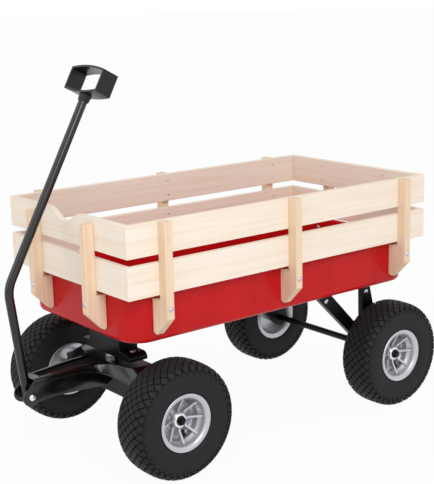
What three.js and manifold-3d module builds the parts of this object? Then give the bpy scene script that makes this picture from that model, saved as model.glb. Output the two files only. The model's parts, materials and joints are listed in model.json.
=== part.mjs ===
// Garden cart: a pressed steel tray with wooden rail panels, on four pneumatic wheels, pulled by a bent
// tube handle. Millimetres, +X forward (handle end), +Y to the cart's left, +Z up.
// While the pieces are made, x = 0 is the middle of the tray and z = 0 is the ground. The last lines
// move the whole cart so that the middle of its bounding box is at x = 0, y = 0.
import * as THREE from 'three';
import { mergeVertices } from 'three/addons/utils/BufferGeometryUtils.js';
import Module from 'manifold-3d';

const wasm = await Module();
wasm.setup();

// ---------------------------------------------------------------- driving dimensions (mm, degrees)

// Clearances
const SEAT_GAP = 0.3;            // between two pieces that rest on each other
const BOLT_CLEARANCE = 0.5;      // radial, round a bolt in its hole
const RUNNING_CLEARANCE = 0.3;   // radial, between an axle and a hub
const END_PLAY = 0.5;            // along an axle, between a hub and its neighbour

// Tray
const TRAY_LENGTH = 818;
const TRAY_WIDTH = 414;
const TRAY_BOTTOM = 293;         // underside above the ground
const TRAY_TOP = 399.5;          // top of the rolled rim
const TRAY_WALL = 2;
const TRAY_CORNER_RADIUS = 56;
const TRAY_EDGE_RADIUS = 12;     // between the wall and the bottom
const RIM_BEAD_RADIUS = 4.8;

// Rail panels
const END_OVERHANG = 22;         // from the tray's end out to the ends of the side boards
const SIDE_OVERHANG = 27;        // from the tray's side out to the outer faces of the side boards
const BOARD_HEIGHT = 68;
const BOARD_THICKNESS = 13;
const BOARD_GAP = 16;            // between the lower and the upper board
const PANEL_TOP = 552;
const SCOOP_WIDTH = 128;         // handle rest in the front board
const SCOOP_DEPTH = 24;

// Posts
const POST_WIDTH = 18;
const POST_DEPTH = 24.5;         // outward from the boards
const SIDE_POST_SPACING = 347;   // from the middle post to an end post
const END_POST_OFFSET = 108;     // from the centre line
const END_POST_DROP = 12;        // top of an end post below the top of its board
const FOOT_TIP_DROP = 86;        // tip of the foot below the rim
const FOOT_CHAMFER_DROP = 47;    // start of the sloped cut below the rim
const FOOT_TIP_RADIUS = 8;
const POST_BOLT_DROP = 26;       // bolt axis below the rim
const POST_BOLT_RADIUS = 3.1;
const POST_BOLT_HEAD_RADIUS = 5.5;
const POST_BOLT_HEAD_HEIGHT = 3;
const POST_NUT_RADIUS = 5.6;
const POST_NUT_HEIGHT = 5;

// Wheels
const AXLE_INSET = 87;           // from the tray's end in to an axle
const TYRE_RADIUS = 127;
const TYRE_WIDTH = 84;
const TYRE_CARCASS = 9;          // thickness of the tyre's wall
const TREAD_SHOULDER = 20;       // from the tyre's side in to the flat of the tread
const SIDEWALL_BULGE = 3;        // how far the side stands out between the bead and the shoulder
const WHEEL_OUTSET = 20.5;       // from the tray's side out to the middle of a tyre
const RIM_LIP_RADIUS = 63;
const RIM_WIDTH = 77;
const BEAD_SEAT_RADIUS = 55;
const BEAD_SEAT_INNER_END = 20;  // from the middle of the rim
const RIM_WELL_RADIUS = 47;
const RIM_WELL_HALF_WIDTH = 14;
const RIM_SHEET = 3;
const DISC_INBOARD = 4;          // inboard face of the hub disc where it meets the well
const HUB_RADIUS = 17;
const HUB_INBOARD = 46;          // hub end from the middle of the wheel, towards the cart
const HUB_OUTBOARD = 14;
const RIB_COUNT = 8;
const RIB_THICKNESS = 3.5;
const RIB_TIP_OUTBOARD = 9;
const TUBE_CORD_RADIUS = 20;     // inner tube, radius of its round section
const VALVE_RADIUS = 4;
const VALVE_ANGLE = 112.5;       // below the hub, midway between two ribs
const VALVE_OUTBOARD = 7;
const VALVE_SHOWING = 13;        // length of the stem inside the rim's well
const LATHE_SIDES = 20;          // facets round a wheel
const WHEEL_TURN = 180 / LATHE_SIDES;   // sets a flat of each wheel on the ground

// Axles
const AXLE_RADIUS = 8;
const AXLE_STUD_RADIUS = 6;
const AXLE_STUD_LENGTH = 13;
const AXLE_NUT_RADIUS = 16;
const AXLE_NUT_RIM = 2;          // height of the nut's straight edge, below its cone
const AXLE_NUT_HEIGHT = 8;

// Rear brackets
const BRACKET_WIDTH = 14;
const BRACKET_WEB = 3;
const BRACKET_BOSS_RADIUS = 22;
const DIAGONAL_FOOT = [154, 198];       // from the axle forward: near and far edge of its foot on the tray
const UPRIGHT_FOOT = [22, 47];
const CROTCH_DROP = 113;                // from the tray down to where the two struts part
const BRACKET_FLANGE = 4;
const UPRIGHT_POCKET_END = { near: 8, far: 36, drop: 108 };     // from the axle, and below the tray
const DIAGONAL_POCKET_END = { near: 60, far: 92, drop: 98 };

// Front bolster, bearing plates and kingpin
const BOLSTER_LENGTH = 48;
const BOLSTER_TOP_WIDTH = 120;
const BOLSTER_WIDTH = 196;
const BOLSTER_SHOULDER = 17;     // height of the wide part
const BOLSTER_SHOULDER_RADIUS = 14;
const BOLSTER_SHEET = 4;
const BEARING_RADIUS = 20;
const BEARING_THICKNESS = 4.6;
const KINGPIN_RADIUS = 7;
const KINGPIN_HEAD_RADIUS = 12;
const KINGPIN_HEAD_HEIGHT = 8;
const KINGPIN_NUT_HEIGHT = 11;
const THREAD_CLEARANCE = 0.1;    // radial, between a bolt and its nut

// Steering yoke and the beam under it
const YOKE_SHEET = 3;
const YOKE_DECK = 209;           // deck height at the kingpin
const YOKE_LIP = 7;              // width of the outward lip along the lower edges
const NOSE_HALF_WIDTH = 21;
const BEAM_SPAN = 28;            // front to back
const BEAM_TOP = 172;
const BEAM_BOTTOM = 128;
const BEAM_CHEEK = 5;
const LUG_GAP = 36;              // between the two lugs that hold the handle
const LUG_THICKNESS = 4;
const LUG_RADIUS = 20;
const LUG_ROOT = 58;             // from the pivot back to where a lug turns into its side plate
const PLATE_BOTTOM = 153;        // lower edge of a side plate near the beam
const PLATE_RISE = 7;            // of that edge from there to the lug
const PLATE_CORNER = [22, 13];   // sloped corner at the beam: length and height

// The yoke's sections from the nose back: distance ahead of the front axle, half width and height of the
// deck, half width inside the lips or how far they lie in from the wings' ends, and height of the lips.
// The first one's place follows the handle.
const YOKE_SECTIONS = [
  { ahead: null, deckHalf: NOSE_HALF_WIDTH, deckZ: 207, lipHalf: 18.5, lipZ: 196 },
  { ahead: 158, deckHalf: 25, deckZ: 211, lipHalf: 24, lipZ: 199 },
  { ahead: 108, deckHalf: 31, deckZ: 213, lipHalf: 31, lipZ: 200 },
  { ahead: 78, deckHalf: 34, deckZ: 213, lipHalf: 35, lipZ: 197 },
  { ahead: 60, deckHalf: 38, deckZ: 212, lipHalf: 46, lipZ: 191 },
  { ahead: 46, deckHalf: 46, deckZ: 210.5, lipHalf: 70, lipZ: 183 },
  { ahead: 36, deckHalf: 66, deckZ: YOKE_DECK, lipInset: 57, lipZ: 175 },
  { ahead: 27, deckHalf: 94, deckZ: YOKE_DECK, lipInset: 19, lipZ: null },
  { ahead: 14, deckHalf: 112, deckZ: YOKE_DECK, lipInset: 0, lipZ: null },
  { ahead: -28, deckHalf: 112, deckZ: YOKE_DECK, lipInset: 0, lipZ: null },
];

// Handle
const PIVOT_AHEAD = 220;         // handle pivot ahead of the kingpin
const PIVOT_HEIGHT = 170;
const PIVOT_BOLT_RADIUS = 5;
const PIVOT_HEAD_RADIUS = 7.5;
const PIVOT_HEAD_HEIGHT = 5;
const PIVOT_NUT_HEIGHT = 7;
const PIVOT_SLEEVE_RADIUS = 9;   // cross sleeve at the foot of the tube
const HANDLE_RADIUS = 9.5;
const HANDLE_TAIL = 13;          // below the pivot
const LOWER_LENGTH = 236.6;      // pivot to the corner of the bend
const LOWER_LEAN = 7;          // forward of upright
const UPPER_LENGTH = 433;        // corner of the bend to the end of the tube
const UPPER_LEAN = 28.6;         // back from upright
const BEND_RADIUS = 70;
const GRIP_WIDTH = 124;
const GRIP_HEIGHT = 61;
const GRIP_DEPTH = 38;
const GRIP_BAND = 4.5;
const GRIP_CROWN = 6;
const COLLAR_RADIUS = 14;
const COLLAR_LENGTH = 14;        // below the band

// ---------------------------------------------------------------- sizes that follow

const AXLE_HEIGHT = TYRE_RADIUS;
const FRONT_AXLE_X = TRAY_LENGTH / 2 - AXLE_INSET;
const REAR_AXLE_X = -FRONT_AXLE_X;
const WHEEL_Y = TRAY_WIDTH / 2 + WHEEL_OUTSET;
const HUB_BORE_RADIUS = AXLE_RADIUS + RUNNING_CLEARANCE;
const AXLE_SUPPORT_Y = WHEEL_Y - HUB_INBOARD - END_PLAY;   // outer face of what carries an axle
const AXLE_SHOULDER_Y = WHEEL_Y + HUB_OUTBOARD;
const PANEL_LENGTH = TRAY_LENGTH + 2 * END_OVERHANG;
const PANEL_WIDTH = TRAY_WIDTH + 2 * SIDE_OVERHANG;
const UPPER_BOARD_BOTTOM = PANEL_TOP - BOARD_HEIGHT;
const LOWER_BOARD_TOP = UPPER_BOARD_BOTTOM - BOARD_GAP;
const LOWER_BOARD_BOTTOM = LOWER_BOARD_TOP - BOARD_HEIGHT;
const BEAD_BOTTOM = TRAY_TOP - 2 * RIM_BEAD_RADIUS;
const FOOT_TOP = BEAD_BOTTOM - SEAT_GAP;
const SIDE_FOOT_REACH = SIDE_OVERHANG - SEAT_GAP;
const END_FOOT_REACH = END_OVERHANG - SEAT_GAP;
const LOWER_BEARING_BOTTOM = YOKE_DECK + SEAT_GAP;
const UPPER_BEARING_BOTTOM = LOWER_BEARING_BOTTOM + BEARING_THICKNESS + SEAT_GAP;
const BOLSTER_BOTTOM = UPPER_BEARING_BOTTOM + BEARING_THICKNESS + SEAT_GAP;
const PIVOT_X = FRONT_AXLE_X + PIVOT_AHEAD;
const LUG_INNER = LUG_GAP / 2;
const LUG_OUTER = LUG_INNER + LUG_THICKNESS;

// ---------------------------------------------------------------- materials

function paint(color, roughness, metalness) {
  return new THREE.MeshStandardMaterial({ color, roughness, metalness });
}

const RED_ENAMEL = paint(0xc4161c, 0.25, 0.1);
const PINE = paint(0xf0dcc0, 0.7, 0);
const BLACK_PAINT = paint(0x161616, 0.35, 0.2);
const RUBBER = paint(0x1c1c1e, 0.85, 0);
const TUBE_RUBBER = paint(0x101010, 0.7, 0);
const SILVER_PAINT = paint(0xb9bcc0, 0.4, 0.6);
const ZINC = paint(0xd0d2d4, 0.3, 0.9);
const GRIP_PLASTIC = paint(0x121212, 0.3, 0);

// ---------------------------------------------------------------- solids

function solidFrom(geometry) {
  const bare = geometry.clone();
  bare.deleteAttribute('normal');
  bare.deleteAttribute('uv');
  const merged = mergeVertices(bare, 1e-4);
  const vertProperties = Float32Array.from(merged.attributes.position.array);
  const triVerts = Uint32Array.from(merged.index.array);
  return new wasm.Manifold(new wasm.Mesh({ numProp: 3, vertProperties, triVerts }));
}

function geometryFrom(solid) {
  const mesh = solid.getMesh();
  const geometry = new THREE.BufferGeometry();
  geometry.setAttribute('position', new THREE.BufferAttribute(mesh.vertProperties, 3));
  geometry.setIndex(new THREE.BufferAttribute(mesh.triVerts, 1));
  return geometry;
}

function joined(first, ...others) {
  return geometryFrom(others.reduce((sum, other) => sum.add(solidFrom(other)), solidFrom(first)));
}

function cut(body, ...tools) {
  return geometryFrom(tools.reduce((rest, tool) => rest.subtract(solidFrom(tool)), solidFrom(body)));
}

function shapeOf(points) {
  return new THREE.Shape(points.map(([a, b]) => new THREE.Vector2(a, b)));
}

// A shape drawn in (x, z), from y = low to y = high.
function extrudeAcross(shape, low, high) {
  const geometry = new THREE.ExtrudeGeometry(shape, { depth: high - low, bevelEnabled: false });
  return geometry.rotateX(Math.PI / 2).translate(0, high, 0);
}

// A shape drawn in (y, z), from x = low to x = high.
function extrudeAlong(shape, low, high) {
  const geometry = new THREE.ExtrudeGeometry(shape, { depth: high - low, bevelEnabled: false });
  const turn = new THREE.Matrix4().makeBasis(
    new THREE.Vector3(0, 1, 0),
    new THREE.Vector3(0, 0, 1),
    new THREE.Vector3(1, 0, 0),
  );
  return geometry.applyMatrix4(turn).translate(low, 0, 0);
}

// A box between two corners.
function block([x0, y0, z0], [x1, y1, z1]) {
  const geometry = new THREE.BoxGeometry(x1 - x0, y1 - y0, z1 - z0);
  return geometry.translate((x0 + x1) / 2, (y0 + y1) / 2, (z0 + z1) / 2);
}

// Cylinders along Y and Z, from low to high, round the axis through (x, z) or (x, y).
function rodAcross(radius, low, high, x, z, sides = 16) {
  const geometry = new THREE.CylinderGeometry(radius, radius, high - low, sides);
  return geometry.translate(x, (low + high) / 2, z);
}

function rodUp(radius, low, high, x, y, sides = 16) {
  const geometry = new THREE.CylinderGeometry(radius, radius, high - low, sides);
  return geometry.rotateX(Math.PI / 2).translate(x, y, (low + high) / 2);
}

// Closed skin over rings with equal point counts, with flat ends triangulated in their own outline.
function loft(rings, flatten) {
  const count = rings[0].length;
  const positions = rings.flat().flatMap((p) => [p.x, p.y, p.z]);
  const index = [];
  for (let ring = 0; ring + 1 < rings.length; ring += 1) {
    for (let i = 0; i < count; i += 1) {
      const a = ring * count + i;
      const b = ring * count + ((i + 1) % count);
      index.push(a, b, b + count, a, b + count, a + count);
    }
  }
  const last = (rings.length - 1) * count;
  const startCap = THREE.ShapeUtils.triangulateShape(rings[0].map(flatten), []);
  const endCap = THREE.ShapeUtils.triangulateShape(rings[rings.length - 1].map(flatten), []);
  const outlineTurns = THREE.ShapeUtils.area(rings[0].map(flatten)) > 0;
  for (const [a, b, c] of startCap) {
    index.push(...(outlineTurns ? [a, c, b] : [a, b, c]));
  }
  const endTurns = THREE.ShapeUtils.area(rings[rings.length - 1].map(flatten)) > 0;
  for (const [a, b, c] of endCap) {
    index.push(...(endTurns ? [a, b, c] : [a, c, b]).map((i) => i + last));
  }
  const geometry = new THREE.BufferGeometry();
  geometry.setAttribute('position', new THREE.Float32BufferAttribute(positions, 3));
  geometry.setIndex(index);
  return outwards(geometry);
}

// Turns every face round if the solid is inside out.
function outwards(geometry) {
  const p = geometry.attributes.position;
  const index = Array.from(geometry.index.array);
  const a = new THREE.Vector3();
  const b = new THREE.Vector3();
  const c = new THREE.Vector3();
  let volume = 0;
  for (let i = 0; i < index.length; i += 3) {
    a.fromBufferAttribute(p, index[i]);
    b.fromBufferAttribute(p, index[i + 1]);
    c.fromBufferAttribute(p, index[i + 2]);
    volume += a.dot(b.cross(c));
  }
  if (volume < 0) {
    for (let i = 0; i < index.length; i += 3) {
      [index[i], index[i + 1]] = [index[i + 1], index[i]];
    }
    geometry.setIndex(index);
  }
  return geometry;
}

const cart = new THREE.Group();

function add(name, geometry, material, parent = cart) {
  const mesh = new THREE.Mesh(geometry, material);
  mesh.name = name;
  parent.add(mesh);
  return mesh;
}

// ---------------------------------------------------------------- tray

function roundedRectangle(halfX, halfY, radius, z) {
  const stepsPerCorner = 6;
  const ring = [];
  const corners = [[1, 1, 0], [-1, 1, 90], [-1, -1, 180], [1, -1, 270]];
  for (const [sx, sy, start] of corners) {
    for (let i = 0; i <= stepsPerCorner; i += 1) {
      const angle = THREE.MathUtils.degToRad(start + (90 * i) / stepsPerCorner);
      const x = sx * (halfX - radius) + radius * Math.cos(angle);
      const y = sy * (halfY - radius) + radius * Math.sin(angle);
      ring.push(new THREE.Vector3(x, y, z));
    }
  }
  return ring;
}

// The wall's section as steps of [outward offset from the outer wall face, height]: up the outside,
// round the rolled rim, down the inside to the floor.
function traySection() {
  const section = [];
  const edgeSteps = 3;
  for (let i = 0; i <= edgeSteps; i += 1) {
    const angle = ((Math.PI / 2) * i) / edgeSteps;
    const offset = TRAY_EDGE_RADIUS * (Math.sin(angle) - 1);
    section.push([offset, TRAY_BOTTOM + TRAY_EDGE_RADIUS * (1 - Math.cos(angle))]);
  }
  const beadSteps = 5;
  section.push([0, BEAD_BOTTOM]);
  for (let i = 0; i <= beadSteps; i += 1) {
    const angle = Math.PI * (-0.5 + i / beadSteps);
    const offset = RIM_BEAD_RADIUS * (1 + Math.cos(angle));
    section.push([offset, TRAY_TOP - RIM_BEAD_RADIUS * (1 - Math.sin(angle))]);
  }
  const innerRadius = TRAY_EDGE_RADIUS - TRAY_WALL;
  section.push([0, TRAY_TOP]);
  section.push([-TRAY_WALL, TRAY_TOP - TRAY_WALL]);
  for (let i = edgeSteps; i >= 0; i -= 1) {
    const angle = ((Math.PI / 2) * i) / edgeSteps;
    const offset = -TRAY_EDGE_RADIUS + innerRadius * Math.sin(angle);
    section.push([offset, TRAY_BOTTOM + TRAY_EDGE_RADIUS - innerRadius * Math.cos(angle)]);
  }
  return section;
}

function makeTray() {
  const rings = traySection().map(([offset, z]) => roundedRectangle(
    TRAY_LENGTH / 2 + offset,
    TRAY_WIDTH / 2 + offset,
    TRAY_CORNER_RADIUS + offset,
    z,
  ));
  const shell = loft(rings, (p) => new THREE.Vector2(p.x, p.y));
  const holes = [];
  for (const post of POSTS) {
    holes.push(placed(outwardRod(POST_BOLT_RADIUS + BOLT_CLEARANCE, -2 * post.reach, 0), post));
  }
  add('tray', cut(shell, ...holes), RED_ENAMEL);
}

// ---------------------------------------------------------------- rail panels

// Every post stands in a frame of its own: local +X points outwards from the outer face of the boards.
const POSTS = [];
for (const [side, turn] of [['left', 90], ['right', -90]]) {
  const y = Math.sign(turn) * (PANEL_WIDTH / 2);
  for (const [place, x] of [['front', SIDE_POST_SPACING], ['middle', 0], ['rear', -SIDE_POST_SPACING]]) {
    POSTS.push({ name: `${side}_${place}`, x, y, turn, top: PANEL_TOP, reach: SIDE_FOOT_REACH });
  }
}
for (const [end, turn] of [['front', 0], ['rear', 180]]) {
  const x = Math.cos(THREE.MathUtils.degToRad(turn)) * (PANEL_LENGTH / 2);
  for (const [place, sign] of [['left', 1], ['right', -1]]) {
    const y = sign * END_POST_OFFSET;
    const top = PANEL_TOP - END_POST_DROP;
    POSTS.push({ name: `${end}_${place}`, x, y, turn, top, reach: END_FOOT_REACH });
  }
}

function placed(geometry, post) {
  return geometry.rotateZ(THREE.MathUtils.degToRad(post.turn)).translate(post.x, post.y, 0);
}

function outwardRod(radius, low, high, z = TRAY_TOP - POST_BOLT_DROP, sides = 8) {
  const geometry = new THREE.CylinderGeometry(radius, radius, high - low, sides);
  return geometry.rotateZ(-Math.PI / 2).translate((low + high) / 2, 0, z);
}

function makePost(post) {
  const tip = TRAY_TOP - FOOT_TIP_DROP;
  const chamferTop = TRAY_TOP - FOOT_CHAMFER_DROP;
  const chamferEnd = POST_DEPTH - (chamferTop - tip);
  const outline = new THREE.Shape();
  outline.moveTo(0, post.top);
  outline.lineTo(0, FOOT_TOP);
  outline.lineTo(-post.reach, FOOT_TOP);
  outline.lineTo(-post.reach, tip + FOOT_TIP_RADIUS);
  outline.quadraticCurveTo(-post.reach, tip, chamferEnd, tip);
  outline.lineTo(POST_DEPTH, chamferTop);
  outline.lineTo(POST_DEPTH, post.top);
  outline.closePath();
  const settings = { depth: POST_WIDTH, bevelEnabled: false, curveSegments: 4 };
  const body = new THREE.ExtrudeGeometry(outline, settings);
  body.rotateX(Math.PI / 2).translate(0, POST_WIDTH / 2, 0);
  const bore = outwardRod(POST_BOLT_RADIUS + BOLT_CLEARANCE, -2 * post.reach, 2 * POST_DEPTH);
  add(`post_${post.name}`, placed(cut(body, bore), post), PINE);
}

// A round-headed bolt through the foot and the tray wall, with its nut inside the tray.
function makePostBolt(post) {
  const wallInside = -post.reach - SEAT_GAP - TRAY_WALL;
  const nutFace = wallInside - SEAT_GAP;
  const headFace = POST_DEPTH + SEAT_GAP;
  const nutEnd = nutFace - POST_NUT_HEIGHT;
  const profile = [
    [0, nutEnd - 2],
    [POST_BOLT_RADIUS, nutEnd - 2],
    [POST_BOLT_RADIUS, nutEnd],
    [POST_NUT_RADIUS, nutEnd],
    [POST_NUT_RADIUS, nutFace],
    [POST_BOLT_RADIUS, nutFace],
    [POST_BOLT_RADIUS, headFace],
    [POST_BOLT_HEAD_RADIUS, headFace],
    [POST_BOLT_HEAD_RADIUS * 0.8, headFace + POST_BOLT_HEAD_HEIGHT * 0.7],
    [0, headFace + POST_BOLT_HEAD_HEIGHT],
  ];
  const bolt = new THREE.LatheGeometry(profile.map(([r, y]) => new THREE.Vector2(r, y)), 8);
  bolt.rotateZ(-Math.PI / 2).translate(0, 0, TRAY_TOP - POST_BOLT_DROP);
  add(`post_bolt_${post.name}`, placed(geometryFrom(solidFrom(bolt)), post), ZINC);
}

function makeBoards() {
  const rows = [['upper', UPPER_BOARD_BOTTOM], ['lower', LOWER_BOARD_BOTTOM]];
  const outerX = PANEL_LENGTH / 2;
  const outerY = PANEL_WIDTH / 2;
  const innerY = outerY - BOARD_THICKNESS;
  const endHalf = innerY - SEAT_GAP;
  for (const [row, z] of rows) {
    const top = z + BOARD_HEIGHT;
    add(`rail_left_${row}`, block([-outerX, innerY, z], [outerX, outerY, top]), PINE);
    add(`rail_right_${row}`, block([-outerX, -outerY, z], [outerX, -innerY, top]), PINE);
    add(`rail_rear_${row}`, block([-outerX, -endHalf, z], [-outerX + BOARD_THICKNESS, endHalf, top]), PINE);
  }
  const frontLow = block(
    [outerX - BOARD_THICKNESS, -endHalf, LOWER_BOARD_BOTTOM],
    [outerX, endHalf, LOWER_BOARD_TOP],
  );
  add('rail_front_lower', frontLow, PINE);
  const scoopSteps = 14;
  const outline = [[-endHalf, UPPER_BOARD_BOTTOM], [endHalf, UPPER_BOARD_BOTTOM], [endHalf, PANEL_TOP]];
  for (let i = 0; i <= scoopSteps; i += 1) {
    const across = 1 - (2 * i) / scoopSteps;
    const drop = (SCOOP_DEPTH * (1 + Math.cos(Math.PI * across))) / 2;
    outline.push([(across * SCOOP_WIDTH) / 2, PANEL_TOP - drop]);
  }
  outline.push([-endHalf, PANEL_TOP]);
  add('rail_front_upper', extrudeAlong(shapeOf(outline), outerX - BOARD_THICKNESS, outerX), PINE);
}

// ---------------------------------------------------------------- wheels

// Solid of revolution round the Y axis through the wheel's centre. The profile is a closed loop of
// [radius, distance outboard from the middle of the wheel].
function turned(profile, sides = LATHE_SIDES) {
  const points = [...profile, profile[0]].map(([r, y]) => new THREE.Vector2(r, y));
  return outwards(geometryFrom(solidFrom(new THREE.LatheGeometry(points, sides))));
}

function tyreProfile() {
  const half = TYRE_WIDTH / 2;
  const bead = RIM_WIDTH / 2 - RIM_SHEET - SEAT_GAP;
  const tread = TYRE_RADIUS / Math.cos(Math.PI / LATHE_SIDES);
  const shoulder = tread * 0.972;
  const sidewall = tread * 0.88;
  const bulge = tread * 0.7;
  const outer = [
    [BEAD_SEAT_RADIUS, bead],
    [RIM_LIP_RADIUS + SEAT_GAP, bead],
    [(RIM_LIP_RADIUS + bulge) / 2, half - SIDEWALL_BULGE],
    [bulge, half],
    [sidewall, half - SIDEWALL_BULGE / 2],
    [shoulder, half - TYRE_CARCASS],
    [tread, half - TREAD_SHOULDER],
  ];
  const inner = [
    [tread - TYRE_CARCASS, half - TREAD_SHOULDER],
    [sidewall, half - TYRE_CARCASS - SIDEWALL_BULGE],
    [bulge, half - TYRE_CARCASS],
    [BEAD_SEAT_RADIUS, bead - TYRE_CARCASS],
  ];
  const mirrored = (points) => points.map(([r, y]) => [r, -y]).reverse();
  return [...outer, ...mirrored(outer), ...mirrored(inner), ...inner];
}

function rimProfile() {
  const half = RIM_WIDTH / 2;
  const seat = BEAD_SEAT_RADIUS - SEAT_GAP;
  const well = RIM_WELL_RADIUS - RIM_SHEET;
  const outside = [
    [RIM_WELL_RADIUS, RIM_WELL_HALF_WIDTH],
    [seat, BEAD_SEAT_INNER_END],
    [seat, half - RIM_SHEET],
    [RIM_LIP_RADIUS, half - RIM_SHEET],
    [RIM_LIP_RADIUS, half],
  ];
  const inside = [
    [seat - RIM_SHEET, half - RIM_SHEET - 1],
    [well, RIM_WELL_HALF_WIDTH + 2],
  ];
  const mirrored = (points) => points.map(([r, y]) => [r, -y]).reverse();
  return [
    [HUB_BORE_RADIUS, -HUB_INBOARD],
    [HUB_RADIUS, -HUB_INBOARD],
    [HUB_RADIUS, -2 * DISC_INBOARD],
    [well, -DISC_INBOARD],
    ...mirrored(inside),
    ...mirrored(outside),
    ...outside,
    ...inside,
    [well, 0],
    [HUB_RADIUS, -DISC_INBOARD],
    [HUB_RADIUS, HUB_OUTBOARD],
    [HUB_BORE_RADIUS, HUB_OUTBOARD],
  ];
}

function makeRim() {
  const ribs = [];
  const root = HUB_RADIUS - RIM_SHEET / 2;
  const tip = RIM_WELL_RADIUS - RIM_SHEET / 2;
  for (let i = 0; i < RIB_COUNT; i += 1) {
    const rib = shapeOf([
      [root, -DISC_INBOARD - 1],
      [tip, 1 - DISC_INBOARD],
      [tip, RIB_TIP_OUTBOARD],
      [root, HUB_OUTBOARD - RIM_SHEET],
    ]);
    const geometry = new THREE.ExtrudeGeometry(rib, { depth: RIB_THICKNESS, bevelEnabled: false });
    geometry.translate(0, 0, -RIB_THICKNESS / 2);
    ribs.push(geometry.rotateY(THREE.MathUtils.degToRad((360 / RIB_COUNT) * i - WHEEL_TURN)));
  }
  const holeEnd = RIM_WELL_RADIUS - RIM_SHEET - VALVE_SHOWING / 2;
  const valveHole = radialRod(VALVE_RADIUS + BOLT_CLEARANCE, holeEnd, RIM_LIP_RADIUS);
  return cut(joined(turned(rimProfile()), ...ribs), valveHole);
}

// A short rod along the wheel's radius at the valve, from the inner to the outer radius.
function radialRod(radius, inner, outer) {
  const geometry = new THREE.CylinderGeometry(radius, radius, outer - inner, 8);
  geometry.rotateZ(-Math.PI / 2).translate((inner + outer) / 2, VALVE_OUTBOARD, 0);
  return geometry.rotateY(THREE.MathUtils.degToRad(VALVE_ANGLE - WHEEL_TURN));
}

// The inner tube fills the carcass, and its valve stem comes out through the rim's well.
function makeInnerTube() {
  const middle = (TYRE_RADIUS - TYRE_CARCASS + BEAD_SEAT_RADIUS) / 2;
  const ring = new THREE.TorusGeometry(middle, TUBE_CORD_RADIUS, 6, LATHE_SIDES).rotateX(Math.PI / 2);
  const stemEnd = RIM_WELL_RADIUS - RIM_SHEET - VALVE_SHOWING;
  return joined(ring, radialRod(VALVE_RADIUS, stemEnd, middle - TUBE_CORD_RADIUS / 2));
}

function makeAxleNut() {
  const low = HUB_OUTBOARD + END_PLAY;
  const bore = AXLE_STUD_RADIUS + RUNNING_CLEARANCE;
  return turned([
    [bore, low],
    [AXLE_NUT_RADIUS, low],
    [AXLE_NUT_RADIUS, low + AXLE_NUT_RIM],
    [bore + AXLE_NUT_RIM * 2, low + AXLE_NUT_HEIGHT],
    [bore, low + AXLE_NUT_HEIGHT],
  ], 12);
}

// The turned shapes are made with +Y outboard, so wheels on the right are turned half round. Each wheel
// stands on the middle of a facet of its tread.
function makeWheel(name, x, side) {
  const wheel = new THREE.Group();
  wheel.position.set(x, side * WHEEL_Y, AXLE_HEIGHT);
  wheel.rotation.set(0, THREE.MathUtils.degToRad(WHEEL_TURN), side > 0 ? 0 : Math.PI, 'ZYX');
  add(`tyre_${name}`, turned(tyreProfile()), RUBBER, wheel);
  add(`rim_${name}`, makeRim(), SILVER_PAINT, wheel);
  add(`inner_tube_${name}`, makeInnerTube(), TUBE_RUBBER, wheel);
  add(`axle_nut_${name}`, makeAxleNut(), ZINC, wheel);
  cart.add(wheel);
}

// ---------------------------------------------------------------- axles and rear brackets

function makeAxle(name, x) {
  const stud = AXLE_SHOULDER_Y + AXLE_STUD_LENGTH;
  const bar = rodAcross(AXLE_RADIUS, -AXLE_SHOULDER_Y, AXLE_SHOULDER_Y, x, AXLE_HEIGHT);
  const thread = rodAcross(AXLE_STUD_RADIUS, -stud, stud, x, AXLE_HEIGHT, 12);
  add(name, joined(bar, thread), BLACK_PAINT);
}

// The bracket is a V of two channels on the tray's underside that meet in a boss round the axle.
function bracketOutline() {
  const top = TRAY_BOTTOM - SEAT_GAP;
  const x = REAR_AXLE_X;
  const boss = BRACKET_BOSS_RADIUS;
  const crotch = [x + UPRIGHT_FOOT[1] - 2, top - CROTCH_DROP];
  const outline = new THREE.Shape();
  outline.moveTo(x + DIAGONAL_FOOT[1], top);
  outline.lineTo(x + DIAGONAL_FOOT[0], top);
  outline.lineTo(crotch[0], crotch[1]);
  outline.lineTo(x + UPRIGHT_FOOT[1], top);
  outline.lineTo(x + UPRIGHT_FOOT[0], top);
  outline.lineTo(x - boss * 0.4, AXLE_HEIGHT + boss * 2);
  outline.absarc(x, AXLE_HEIGHT, boss, Math.PI, Math.PI * 1.75, false);
  outline.closePath();
  return outline;
}

// The hollow of one channel, from under its foot down to its lower end.
function strutPocket([nearFoot, farFoot], { near, far, drop }) {
  const top = TRAY_BOTTOM - SEAT_GAP - BRACKET_FLANGE;
  return shapeOf([
    [REAR_AXLE_X + nearFoot + BRACKET_FLANGE, top],
    [REAR_AXLE_X + near + BRACKET_FLANGE, TRAY_BOTTOM - drop],
    [REAR_AXLE_X + far - BRACKET_FLANGE, TRAY_BOTTOM - drop],
    [REAR_AXLE_X + farFoot - BRACKET_FLANGE, top],
  ]);
}

function makeRearBracket(name, side) {
  const outer = AXLE_SUPPORT_Y;
  const inner = outer - BRACKET_WIDTH;
  const body = new THREE.ExtrudeGeometry(bracketOutline(), {
    depth: BRACKET_WIDTH,
    bevelEnabled: false,
    curveSegments: 8,
  });
  body.rotateX(Math.PI / 2).translate(0, outer, 0);
  const reach = [inner - 1, outer - BRACKET_WEB];
  const upright = strutPocket(UPRIGHT_FOOT, UPRIGHT_POCKET_END);
  const diagonal = strutPocket(DIAGONAL_FOOT, DIAGONAL_POCKET_END);
  const bore = rodAcross(AXLE_RADIUS + SEAT_GAP, inner - 1, outer + 1, REAR_AXLE_X, AXLE_HEIGHT);
  const bracket = cut(body, extrudeAcross(upright, ...reach), extrudeAcross(diagonal, ...reach), bore);
  add(name, side > 0 ? bracket : mirroredAcross(bracket), BLACK_PAINT);
}

// The same solid on the other side of the centre line.
function mirroredAcross(geometry) {
  return outwards(geometry.clone().scale(1, -1, 1));
}

// ---------------------------------------------------------------- front bolster and kingpin

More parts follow.
